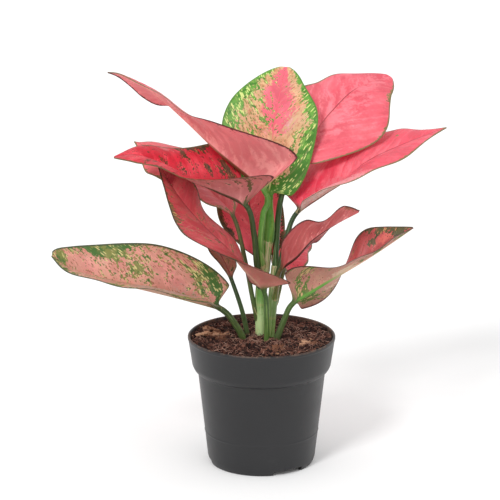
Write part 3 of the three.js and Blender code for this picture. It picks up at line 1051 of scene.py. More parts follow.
# ---- colours of the leaves -------------------------------------------------------------------------
PINK_UNDER = FacePaint(
    body=(228, 130, 132), marble=(224, 116, 120), heart=(236, 150, 146), pale=(228, 150, 150),
    green=(150, 92, 70), deep=(104, 62, 48), fleck=(224, 150, 136), speck=(120, 50, 52),
    line=(238, 160, 156), rib=(232, 150, 138), rib_low=(130, 80, 56), margin=(84, 44, 40), marbling=0.5,
    veil=0.2, flecks=0.2, specks=0.25, rib_width=1.5, margin_width=2.6,
)
CROWN_UPPER = FacePaint(
    body=(222, 184, 138), marble=(196, 132, 92), heart=(232, 106, 124), pale=(236, 184, 178),
    green=(98, 156, 56), deep=(62, 122, 34), fleck=(206, 220, 132), speck=(128, 126, 62),
    line=(240, 166, 156), rib=(228, 98, 116), rib_low=(190, 204, 120), margin=(80, 132, 46),
    marbling=0.8, flecks=0.55, specks=0.5, margin_width=2.0,
)
CROWN_UNDER = replace(
    CROWN_UPPER, body=(206, 196, 140), marble=(206, 170, 130), heart=(206, 140, 128),
    pale=(216, 196, 176), green=(116, 156, 80), deep=(90, 136, 56), fleck=(184, 196, 128),
    speck=(140, 130, 84), rib=(176, 190, 120), rib_low=(150, 182, 90), rib_width=1.8,
)
CORAL_UPPER = FacePaint(
    body=(226, 88, 104), marble=(228, 100, 112), heart=(236, 116, 128), pale=(240, 158, 162),
    green=(140, 122, 72), deep=(104, 104, 56), fleck=(228, 150, 126), speck=(150, 92, 66),
    line=(246, 140, 150), rib=(156, 50, 58), rib_low=(232, 110, 118), margin=(120, 106, 68), veil=0.22,
    flecks=0.35, specks=0.2, rib_width=0.8,
)
CRIMSON_UPPER = FacePaint(
    body=(212, 40, 60), marble=(188, 44, 56), heart=(234, 70, 84), pale=(226, 122, 124),
    green=(98, 60, 36), deep=(58, 54, 28), fleck=(166, 116, 68), speck=(92, 34, 30), line=(228, 84, 96),
    rib=(150, 30, 44), rib_low=(120, 50, 36), margin=(98, 86, 48), flecks=0.4, specks=0.4,
    rib_width=0.8,
)
SALMON_UPPER = FacePaint(
    body=(218, 152, 136), marble=(204, 160, 138), heart=(218, 142, 134), pale=(198, 170, 156),
    green=(124, 128, 66), deep=(66, 104, 44), fleck=(204, 194, 130), speck=(150, 100, 72),
    line=(218, 170, 150), rib=(160, 140, 104), rib_low=(96, 120, 60), margin=(64, 78, 50), flecks=0.55,
    specks=0.55, lines=0.1, rib_width=0.9, margin_width=2.2,
)
DARK_UPPER = FacePaint(
    body=(186, 62, 70), marble=(176, 86, 80), heart=(152, 34, 48), pale=(190, 130, 112),
    green=(112, 88, 52), deep=(78, 64, 38), fleck=(190, 140, 92), speck=(98, 46, 38),
    line=(198, 96, 98), rib=(128, 40, 46), rib_low=(170, 60, 60), margin=(74, 62, 42), flecks=0.5,
    specks=0.35, rib_width=0.8,
)
BROWN_UNDER = replace(
    PINK_UNDER, body=(188, 114, 104), marble=(178, 122, 102), heart=(190, 122, 112),
    pale=(184, 146, 118), green=(134, 104, 66), deep=(98, 78, 46), fleck=(194, 160, 112),
    speck=(104, 56, 46), line=(190, 130, 116), rib=(204, 156, 132), rib_low=(120, 126, 66), flecks=0.4,
    specks=0.3,
)

LOOKS = {
    "crown": LeafLook(
        CROWN_UPPER,
        CROWN_UNDER,
        Marking(
            ground=0.18, border=0.75, border_from=0.55, base=0.35, base_to=0.22, tip=-0.1, heart=0.85,
            heart_wide=0.36, heart_from=0.34,
            spots={
                Lean.GREEN: (
                    (-0.72, 0.5, 0.28, 0.7, 0.4), (0.5, 0.0, 0.6, 0.14, 0.7),
                    (0.75, 0.15, 0.2, 0.2, 0.35), (-0.22, 0.48, 0.14, 0.025, 0.5),
                    (-0.38, 0.6, 0.09, 0.025, 0.7),
                ),
                Lean.DEEP: ((0.5, 0.0, 0.6, 0.14, 0.3),),
                Lean.HEART: (
                    (-0.05, 0.83, 0.35, 0.1, 0.4), (0.35, 0.62, 0.18, 0.1, 0.45),
                    (0.5, 0.45, 0.22, 0.08, 0.4), (-0.3, 0.68, 0.15, 0.08, 0.4),
                ),
                Lean.PALE: ((0.35, 0.4, 0.2, 0.07, 0.5), (-0.15, 0.41, 0.2, 0.05, 0.4)),
                Lean.SPECK: (
                    (-0.7, 0.42, 0.2, 0.2, 1.0), (-0.42, 0.42, 0.1, 0.1, 0.7),
                    (0.4, 0.55, 0.2, 0.09, 0.6), (0.48, 0.82, 0.22, 0.1, 0.6),
                    (-0.32, 0.92, 0.12, 0.05, 0.5),
                ),
            },
        ),
        (86, 134, 50), (78, 138, 40), (134, 170, 84), "leaf_cream_green", 3.1,
    ),
    "upper_left": LeafLook(
        CORAL_UPPER,
        PINK_UNDER,
        Marking(
            ground=-0.2, border=0.3, border_from=0.8, base=0.0, heart=0.6, heart_wide=0.3,
            spots={
                Lean.HEART: ((-0.4, 0.0, 0.5, 0.1, 0.6), (0.6, 0.1, 0.4, 0.1, 0.4)),
                Lean.GREEN: (
                    (-1.0, 0.2, 0.1, 0.16, 0.6), (0.0, 0.7, 0.3, 0.05, 0.55),
                    (-0.8, 0.55, 0.2, 0.05, 0.3),
                ),
                Lean.PALE: ((-0.65, 0.4, 0.25, 0.07, 0.8),),
                Lean.SPECK: ((-0.92, 0.2, 0.12, 0.3, 0.9),),
            },
        ),
        (92, 132, 58), (84, 136, 52), (160, 184, 110), "leaf_pink", 5.2,
    ),
    "left": LeafLook(
        CRIMSON_UPPER,
        replace(
            PINK_UNDER, body=(192, 110, 108), marble=(180, 100, 94), heart=(206, 138, 132),
            green=(92, 80, 46), rib=(198, 120, 110), rib_low=(84, 62, 42),
        ),
        Marking(
            ground=0.1, border=0.2, base=0.15, base_to=0.1, tip=-0.1, heart=0.3,
            spots={
                Lean.GREEN: (
                    (-0.2, 0.0, 0.3, 0.02, 0.6), (-0.75, 0.0, 0.3, 0.04, 0.6),
                    (-0.7, 0.085, 0.22, 0.03, 0.6), (-1.0, 0.5, 0.14, 0.1, 0.6),
                    (-0.6, 0.66, 0.32, 0.04, 0.6), (0.5, 0.07, 0.16, 0.08, 0.7),
                    (0.8, 0.22, 0.16, 0.08, 0.7), (0.4, 0.25, 0.12, 0.025, 0.6),
                    (0.7, 0.42, 0.14, 0.03, 0.6), (1.0, 0.2, 0.1, 0.16, 0.6),
                    (0.2, 0.66, 0.1, 0.04, 0.7), (0.3, 0.74, 0.06, 0.02, 0.7),
                ),
                Lean.HEART: ((-0.6, 0.52, 0.3, 0.08, 0.6), (-0.5, 0.78, 0.5, 0.06, 0.7)),
                Lean.PALE: ((0.82, 0.55, 0.14, 0.06, 0.8),),
                Lean.SPECK: ((-0.75, 0.0, 0.3, 0.04, 0.8), (0.6, 0.2, 0.3, 0.15, 0.5)),
            },
        ),
        (62, 82, 44), (54, 72, 40), (104, 124, 74), "leaf_crimson", 7.7,
    ),
    "left_rear": LeafLook(
        replace(CORAL_UPPER, body=(230, 104, 110), marble=(216, 92, 96), heart=(232, 128, 126)),
        PINK_UNDER,
        Marking(ground=-0.1, border=0.35, heart=0.4, spots={Lean.GREEN: ((0.0, 0.0, 1.2, 0.05, 0.6),)}),
        (72, 96, 46), (88, 88, 50), (136, 134, 84), "leaf_pink", 9.3,
    ),
    "drooping": LeafLook(
        DARK_UPPER,
        replace(BROWN_UNDER, rib=(196, 132, 114), rib_low=(190, 138, 118)),
        Marking(
            ground=0.1, border=0.25, border_from=0.75, base=0.0, heart=0.0,
            spots={
                Lean.GREEN: (
                    (-0.85, 0.55, 0.14, 0.1, 0.5), (-1.0, 0.55, 0.14, 0.15, 0.5),
                    (1.0, 0.72, 0.14, 0.14, 0.5), (0.4, 0.39, 0.12, 0.03, 0.6),
                ),
                Lean.HEART: ((0.0, 0.86, 0.9, 0.05, 0.7),),
                Lean.SHADE: (
                    (-0.9, 0.17, 0.3, 0.03, 0.6), (-0.5, 0.22, 0.3, 0.03, 0.6),
                    (-0.15, 0.28, 0.2, 0.03, 0.6),
                ),
                Lean.PALE: ((0.4, 0.04, 0.25, 0.05, 0.8), (-0.4, 0.42, 0.5, 0.06, 0.4)),
                Lean.SPECK: ((-0.82, 0.55, 0.12, 0.1, 0.8),),
            },
        ),
        (82, 110, 50), (60, 86, 38), (124, 150, 82), "leaf_dark_red", 11.9,
    ),
    "left_inner": LeafLook(
        replace(DARK_UPPER, body=(176, 108, 90), marble=(158, 112, 86), heart=(184, 104, 92)),
        replace(BROWN_UNDER, body=(158, 116, 88), marble=(146, 112, 80)),
        Marking(ground=0.0, border=0.4, base=0.3, spots={Lean.SHADE: ((0.0, 0.23, 1.2, 0.03, 0.6),)}),
        (80, 98, 58), (52, 72, 42), (112, 130, 84), "leaf_dark_red", 13.4,
    ),
    "low_left": LeafLook(
        SALMON_UPPER,
        replace(BROWN_UNDER, body=(190, 150, 130), marble=(176, 140, 118)),
        Marking(
            ground=0.24, border=0.2, border_from=0.75, base=0.1, base_to=0.1, tip=0.2, heart=0.2,
            spots={
                Lean.GREEN: (
                    (-0.8, 0.38, 0.2, 0.03, 0.5), (-0.6, 0.46, 0.2, 0.03, 0.5),
                    (-0.42, 0.55, 0.15, 0.03, 0.5), (-0.78, 0.81, 0.22, 0.03, 0.6),
                    (-0.6, 0.95, 0.6, 0.08, 0.6), (-0.95, 0.0, 0.15, 0.08, 0.8),
                    (0.5, 0.02, 0.5, 0.04, 0.9), (0.48, 0.13, 0.32, 0.03, 0.7),
                    (0.4, 0.45, 0.22, 0.14, 0.3), (0.8, 0.57, 0.22, 0.16, 0.75),
                    (0.95, 0.42, 0.1, 0.08, 0.6), (0.45, 0.91, 0.38, 0.06, 0.7),
                ),
                Lean.DEEP: (
                    (0.5, 0.02, 0.5, 0.05, 0.35), (0.7, 0.65, 0.25, 0.07, 0.35),
                    (0.95, 0.42, 0.12, 0.1, 0.3),
                ),
                Lean.HEART: (
                    (0.35, 0.075, 0.2, 0.025, 0.6), (0.5, 0.26, 0.45, 0.09, 0.6),
                    (0.5, 0.53, 0.1, 0.05, 0.6), (0.4, 0.74, 0.3, 0.1, 0.6),
                ),
                Lean.PALE: ((-0.5, 0.18, 0.7, 0.2, 1.0),),
                Lean.SPECK: (
                    (0.8, 0.07, 0.22, 0.08, 0.9), (0.6, 0.22, 0.12, 0.03, 0.9),
                    (0.4, 0.45, 0.22, 0.14, 0.8), (0.25, 0.72, 0.1, 0.03, 0.8),
                    (0.35, 0.85, 0.08, 0.03, 0.8),
                ),
            },
        ),
        (88, 106, 56), (60, 76, 42), (118, 136, 78), "leaf_salmon", 15.8,
    ),
    "upper_right": LeafLook(
        replace(CORAL_UPPER, rib_end=0.6),
        PINK_UNDER,
        Marking(
            ground=-0.25, border=0.2, border_from=0.85, base=-0.1, heart=0.5, heart_wide=0.6,
            spots={
                Lean.GREEN: ((0.95, 0.7, 0.25, 0.22, 0.9), (0.98, 0.22, 0.07, 0.08, 0.7)),
            },
        ),
        (66, 92, 46), (48, 74, 42), (108, 138, 90), "leaf_coral", 17.1,
    ),
    "right": LeafLook(
        replace(CORAL_UPPER, heart=(224, 52, 78), marble=(236, 88, 106), rib_low=(170, 50, 60)),
        replace(PINK_UNDER, body=(238, 200, 186), marble=(230, 182, 168), pale=(242, 222, 210)),
        Marking(
            ground=-0.25, border=0.2, border_from=0.88, base=0.0, heart=0.0,
            spots={
                Lean.GREEN: (
                    (-0.5, 0.6, 0.07, 0.02, 0.9), (-1.0, 0.05, 0.12, 0.06, 0.8),
                    (1.0, 0.5, 0.12, 0.3, 0.9), (0.8, -0.06, 0.4, 0.05, 0.8),
                ),
                Lean.HEART: ((-0.45, 0.18, 0.35, 0.24, 1.0),),
                Lean.PALE: ((0.2, 0.08, 0.25, 0.12, 0.9), (0.8, 0.12, 0.4, 0.2, 0.9)),
            },
        ),
        (66, 90, 50), (50, 76, 50), (104, 130, 92), "leaf_coral", 19.6,
    ),
    "right_small": LeafLook(
        DARK_UPPER,
        replace(
            PINK_UNDER, body=(188, 88, 88), marble=(176, 92, 86), rib=(96, 46, 42),
            rib_low=(84, 44, 36), rib_end=0.62,
        ),
        Marking(
            ground=-0.05, border=0.3, base=0.0, tip=0.2, tip_from=0.82, heart=0.2,
            spots={
                Lean.GREEN: ((0.85, 0.78, 0.25, 0.12, 0.7),),
            },
        ),
        (112, 136, 70), (98, 84, 54), (160, 136, 92), "leaf_dark_red", 21.2,
    ),
    "low_right": LeafLook(
        replace(
            DARK_UPPER, body=(188, 82, 82), marble=(172, 76, 72), heart=(210, 102, 90),
            green=(88, 84, 52), deep=(60, 74, 44),
        ),
        replace(
            BROWN_UNDER, body=(178, 124, 108), marble=(178, 136, 112), pale=(202, 176, 150),
            green=(104, 108, 58), deep=(74, 112, 44), rib=(214, 176, 152), rib_low=(92, 140, 56),
            rib_width=2.2,
        ),
        Marking(
            ground=0.2, border=0.25, border_from=0.75, base=0.0, tip=0.1, heart=0.2,
            spots={
                Lean.GREEN: (
                    (-0.15, 0.05, 0.3, 0.08, 0.8), (-0.7, 0.06, 0.5, 0.08, 0.4),
                    (0.6, 0.04, 0.5, 0.08, 0.4), (0.15, 0.65, 0.2, 0.1, 0.7),
                    (0.2, 0.86, 0.4, 0.08, 0.5), (-0.45, 0.6, 0.1, 0.05, 0.7),
                    (-0.75, 0.68, 0.18, 0.04, 0.7), (-1.0, 0.52, 0.12, 0.08, 0.7),
                    (-0.7, 0.9, 0.35, 0.1, 0.8),
                ),
                Lean.DEEP: ((-0.15, 0.05, 0.3, 0.08, 0.4),),
                Lean.HEART: ((-0.35, 0.75, 0.22, 0.1, 0.8),),
                Lean.PALE: ((0.12, 0.42, 0.18, 0.13, 0.8), (-0.7, 0.2, 0.3, 0.1, 0.5)),
                Lean.SPECK: ((-0.5, 0.05, 0.6, 0.1, 0.9), (0.6, 0.04, 0.5, 0.1, 0.9)),
            },
        ),
        (76, 88, 54), (74, 100, 48), (118, 134, 84), "leaf_salmon", 23.5,
    ),
    "rear": LeafLook(
        replace(
            CRIMSON_UPPER, body=(240, 92, 108), marble=(228, 84, 98), heart=(244, 118, 126), veil=0.2,
        ),
        PINK_UNDER,
        Marking(ground=0.05, border=0.75, border_from=0.6, base=0.1),
        (84, 120, 52), (70, 100, 46), (130, 150, 84), "leaf_crimson", 25.3,
    ),
    "rear_low": LeafLook(
        replace(CRIMSON_UPPER, body=(224, 74, 90), heart=(230, 92, 102), green=(112, 84, 50)),
        PINK_UNDER,
        Marking(ground=-0.35, border=0.3, base=0.6, base_to=0.4),
        (84, 120, 52), (90, 90, 50), (130, 150, 84), "leaf_crimson", 27.9,
    ),
}

LEAVES = (
    LeafForm(
        "leaf_crown", radius=3.3, look=LOOKS["crown"], taper=-0.1, clasp=1.9, sheath_length=42.0,
        sheath_hold=3.0,
        stalk=((4, 9, 176), (6, 10, 196), (6, 11, 221)),
        rib=((9, 15, 245), (9, 22, 270), (13, 34, 292), (20, 60, 317)),
        left=((-34, 2, -8), (-39, 3, 0), (-45, 0, 2), (-52, -4, 2)),
        right=((28, -10, -17), (33, -7, -1), (37, -8, 2), (32, -4, 0)),
    ),
    LeafForm(
        "leaf_upper_left", radius=2.2, look=LOOKS["upper_left"], clasp=2.4,
        stalk=((1, 6, 161), (-1, 0, 184), (1, -1, 208), (3, 0, 226)),
        rib=((-32, -14, 262), (-59, -24, 291), (-84, -32, 315), (-109, -36, 330), (-122, -34, 332)),
        left=((61, -12, 32), (6, -21, 23), (2, -26, 9), (9, -32, 3)),
        right=((6, 20, 24), (-2, 18, 5), (-5, 22, 0), (5, 27, -34)),
    ),
    LeafForm(
        "leaf_left", radius=2.1, look=LOOKS["left"], taper=0.0, clasp=2.6,
        stalk=((0, 8, 141), (-4, 0, 167), (-6, -4, 191), (-12, -12, 218)),
        rib=((-35, -20, 233), (-57, -26, 244), (-81, -28, 258), (-100, -27, 264), (-118, -24, 261)),
        left=((51, -18, 33), (6, -23, 9), (1, -30, 4), (3, -31, -5)),
        right=((5, 23, 40), (7, 22, 29), (8, 24, 12), (8, 24, 8)),
    ),
    LeafForm(
        "leaf_left_rear", radius=1.7, look=LOOKS["left_rear"], clasp=3.0,
        stalk=((-2, 8, 113), (-7, 5, 135), (-13, 5, 167), (-22, 6, 203)),
        rib=((-38, 14, 220), (-58, 20, 237), (-81, 26, 252), (-104, 32, 261)),
        left=((-7, -27, 4), (-7, -20, -5), (-18, -22, -6), (-16, -35, -24)),
        right=((16, 30, 3), (17, 24, 5), (9, 24, 8), (-6, 30, 6)),
    ),
    LeafForm(
        "leaf_drooping", radius=1.9, look=LOOKS["drooping"], taper=0.2,
        stalk=((4, -8, 95), (4, -10, 124), (2, -12, 147)),
        rib=((-12, -24, 168), (-26, -34, 188), (-46, -38, 209), (-65, -32, 230), (-84, -20, 258)),
        left=((47, -18, 0), (-15, -18, 6), (-19, -22, 3), (-9, -24, -1)),
        right=((-7, 20, -9), (4, 20, 4), (5, 24, 1), (33, 24, 3)),
    ),
    LeafForm(
        "leaf_left_inner", radius=1.7, look=LOOKS["left_inner"],
        stalk=((-10, 8, 95), (-15, 4, 123), (-24, 2, 152)),
        rib=((-32, 5, 170), (-46, 10, 191), (-60, 15, 212), (-73, 20, 232)),
        left=((-10, -13, 9), (-6, -20, 4), (-6, -24, 1), (-6, -27, 0)),
        right=((13, 13, 2), (8, 20, 3), (2, 24, 4), (15, 28, 5)),
    ),
    LeafForm(
        "leaf_low_left", radius=2.4, look=LOOKS["low_left"], taper=-0.1,
        stalk=((-11, 1, 95), (-20, -4, 115), (-33, -10, 132)),
        rib=((-58, -20, 143), (-90, -30, 154), (-121, -36, 163), (-151, -40, 174), (-167, -42, 186)),
        left=((4, -50, 14), (-1, -32, 10), (-3, -33, 8), (-5, -30, 5)),
        right=((33, 23, 19), (12, 18, 31), (7, 20, 31), (1, 27, 30)),
    ),
    LeafForm(
        "leaf_upper_right", radius=2.1, look=LOOKS["upper_right"], taper=-0.1, clasp=0.9,
        stalk=((11, 8, 157), (12, 12, 183), (15, 15, 214), (24, 20, 244)),
        rib=((40, 30, 265), (57, 40, 284), (77, 52, 300), (106, 78, 305)),
        left=((-20, 12, 21), (-20, 13, 23), (-23, 19, 10), (-31, 19, 9)),
        right=((24, -22, -10), (32, -20, -18), (35, -26, -24), (25, -21, -19)),
    ),
    LeafForm(
        "leaf_right", radius=2.0, look=LOOKS["right"], clasp=0.5,
        stalk=((10, 3, 144), (15, 1, 166), (20, 7, 187), (28, 8, 207)),
        rib=((49, 8, 223), (66, 9, 234), (86, 11, 250), (115, 15, 263), (150, 22, 275)),
        left=((-33, 28, 7), (-6, 28, 25), (5, 34, 12), (-5, 32, 7)),
        right=((-11, -30, 10), (1, -28, 4), (4, -30, -4), (3, -37, -3)),
    ),
    LeafForm(
        "leaf_right_small", radius=1.6, look=LOOKS["right_small"], taper=-0.05, clasp=0.8,
        stalk=((10, 3, 134), (12, -5, 149), (15, -8, 164)),
        rib=((28, -14, 177), (40, -21, 193), (58, -29, 208), (77, -36, 220)),
        left=((-1, 30, 2), (5, 20, -5), (0, 20, -10), (12, 30, 5)),
        right=((-8, -13, 34), (0, -14, 27), (-2, -20, 14), (-3, -21, 25)),
    ),
    LeafForm(
        "leaf_low_right", radius=2.2, look=LOOKS["low_right"], taper=0.2,
        stalk=((9, -5, 95), (18, -9, 122), (25, -12, 137)),
        rib=((42, -16, 150), (62, -16, 163), (90, -10, 178), (123, 2, 197)),
        left=((-1, 23, -27), (3, 19, -13), (-8, 15, 16), (-17, 18, 19)),
        right=((-26, -20, 38), (-5, -16, 13), (-1, -22, 9), (-1, -26, 11)),
    ),
    LeafForm(
        "leaf_rear", radius=2.0, look=LOOKS["rear"], clasp=-1.5,
        stalk=((0, 8, 130), (0, 17, 146), (-1, 20, 163)),
        rib=((-3, 28, 179), (-8, 40, 197), (-12, 52, 215), (-16, 64, 233)),
        left=((-23, -5, 6), (-28, -4, 3), (-30, -4, 6), (-41, 0, 7)),
        right=((25, -3, 0), (25, -4, 0), (30, -4, 0), (40, 0, 3)),
    ),
    LeafForm(
        "leaf_rear_low", radius=1.7, look=LOOKS["rear_low"], clasp=-1.2,
        stalk=((10, 4, 129), (14, 13, 141), (18, 22, 154)),
        rib=((25, 50, 160), (32, 80, 162), (39, 112, 161)),
        left=((-20, 7, 0), (-13, 6, 10), (-12, 7, 12), (-15, 15, 12)),
        right=((10, -7, -12), (13, -6, -6), (9, -9, -6), (15, -15, -7)),
    ),
)


# ==== canes =========================================================================================
@dataclass(frozen=True)
class Cane:
    """A short cane: its line from in the soil to its top, its radius at each point, the heights of
    its old leaf scars, and its colours."""

    node: str
    line: tuple[Point, ...]
    radii: tuple[float, ...]
    scars: tuple[float, ...]
    low: Paint
    high: Paint
    streak: Paint
    seed: float

    STATIONS = 130
    SIDES = 56

    def rings(self) -> tuple[Array, dict[str, Array]]:
        """Rings up the cane: round, with slight lengthwise ridges and a low swelling at each scar.

        The radius is that stated, times 1 plus RIDGE of a five-fold and a nine-fold wave round it,
        plus SCAR_RISE on a bell of SCAR_HEIGHT round each scar's height.

        Returns:
            The rings and their marks.
        """
        part = np.linspace(0.0, 1.0, self.STATIONS)
        middle, tangent, length = at_length(spline(self.line), part)
        radius = np.interp(part, np.linspace(0, 1, len(self.radii)), self.radii)
        swell = sum(np.exp(-(((middle[:, 2] - scar) / SCAR_HEIGHT) ** 2)) for scar in self.scars)
        across, up = square_to(tangent, (1.0, 0.0, 0.0))
        angle = np.pi - 2.0 * np.pi * np.arange(self.SIDES) / self.SIDES
        ridges = 1.0 + RIDGE * np.sin(5.0 * angle + self.seed) + RIDGE * np.sin(9.0 * angle + 2.0)
        size = radius[:, None] * ridges[None, :] + SCAR_RISE * swell[:, None]
        rings = middle[:, None] + size[..., None] * spokes(across, up, np.cos(angle), np.sin(angle))
        grid = np.ones_like(size)
        place = np.stack([grid * angle * radius.mean(), grid * (part * length)[:, None], grid], -1)
        part = np.stack([grid * part[:, None], grid * swell[:, None], grid], -1)
        return rings, {"place": place, "part": part}

    def material(self, skin: Effect) -> bpy.types.Material:
        """The cane's finish: its skin, pale old scars, and strips of dry husk on one side high up.

        Args:
            skin: The node group of a cane's skin.

        Returns:
            The material.
        """
        coat = Coat(f"{self.node}_skin")
        g = coat.graph
        rise, scar, _ = g.parts(g.mark("part"))
        place = g.mark("place")
        around, along, _ = g.parts(place)
        bark = skin.place(g, {
            "Place": place,
            "Rise": g.ease(rise, 0.22, 0.6),
            "Seed": self.seed,
            "Low": linear(self.low),
            "High": linear(self.high),
            "Line": linear(self.streak),
        })
        colour = g.mix(g.ease(scar, 0.4, 1.0) * 0.3, bark["Colour"], linear(SCAR_PAINT))
        strips = g.noise(g.vector(around * 0.7, along * 0.03, self.seed), 1.0, 3.0)
        husk = g.ease(rise, 0.6, 0.75) * g.ease(around, 11.0, 7.0) * g.ease(strips, 0.42, 0.56) * 0.85
        coat.feed(
            Base_Color=g.mix(husk, colour, linear(HUSK_PAINT)),
            Roughness=0.42,
            Subsurface_Weight=0.1,
            Subsurface_Scale=1.5 * MM,
        )
        coat.bump(bark["Relief"], 0.5, 0.4)
        return coat.material

    def build(self, skin: Effect) -> None:
        """Makes the cane and settles it in place of its solid."""
        item = Form.skin(*self.rings()).piece(f"{self.node}_stem", self.material(skin))
        settle(item, (self.node,))


CANES = (
    Cane(
        "cane_left", ((-2, 8, 88), (-1, 8, 102), (-1, 8, 134), (2, 9, 164), (4, 9, 184)),
        (4.0, 4.1, 4.6, 5.0, 4.9), (131.0, 160.0), (190, 214, 152), (92, 146, 52), (196, 206, 150), 1.3,
    ),
    Cane(
        "cane_right", ((6, 1, 88), (7, 1, 104), (9, 3, 134), (12, 7, 163)),
        (3.2, 3.3, 4.0, 4.2), (121.0, 147.0), (132, 166, 84), (112, 140, 76), (186, 198, 146), 2.6,
    ),
)


# ==== pot ===========================================================================================
PLASTIC_DARK = (26, 26, 28)
PLASTIC_LIGHT = (31, 31, 33)
SCUFF_PAINT = (78, 78, 78)
# Light brown of soil rubbed on the pot; on the lip it also serves as a painted highlight.
SOIL_AND_LIP_HIGHLIGHT_PAINT = (112, 82, 66)
DUST_PAINT = (120, 108, 98)


def body_radius(z: float) -> float:
    """The pot body's outside radius at a height, straight from its foot to its top."""
    share = (z - BODY_FOOT_Z) / (BODY_TOP_Z - BODY_FOOT_Z)
    return BODY_FOOT_RADIUS + share * (BODY_TOP_RADIUS - BODY_FOOT_RADIUS)


FLOOR_TOP = FLOOR_Z + WALL
INSIDE = (
    (body_radius(FLOOR_TOP) - WALL - 1.0, FLOOR_TOP),
    (body_radius(FLOOR_TOP + 1.0) - WALL, FLOOR_TOP + 1.0),
    (BODY_TOP_RADIUS - WALL, BODY_TOP_Z + 0.7),
    (COLLAR_FOOT_RADIUS - WALL, COLLAR_FOOT_Z + 0.7),
    (RIM_RADIUS - WALL - 0.1, POT_HEIGHT - 0.6),
)


def rounded(profile: list[tuple[float, float]], size: float, steps: int = 4) -> Array:
    """A profile with its corners rounded: each is a curve from one side to the other, pulled to the
    corner by 2s(1-s), that starts and ends at most a third of the way along its sides.

    Args:
        profile: Radius and height at each corner.
        size: How far from the corner the rounding starts.
        steps: Points on each rounded corner.

    Returns:
        The rounded profile.
    """
    points = np.asarray(profile, float)
    back, ahead = points[:-2] - points[1:-1], points[2:] - points[1:-1]
    near = np.minimum(size, np.linalg.norm(back, axis=1, keepdims=True) / 3)
    far = np.minimum(size, np.linalg.norm(ahead, axis=1, keepdims=True) / 3)
    start, end = points[1:-1] + unit(back) * near, points[1:-1] + unit(ahead) * far
    s = np.linspace(0.0, 1.0, steps)[None, :, None]
    arcs = (1 - s) ** 2 * start[:, None] + 2 * s * (1 - s) * points[1:-1, None] + s**2 * end[:, None]
    return np.concatenate([points[:1], arcs.reshape(-1, 2), points[-1:]])


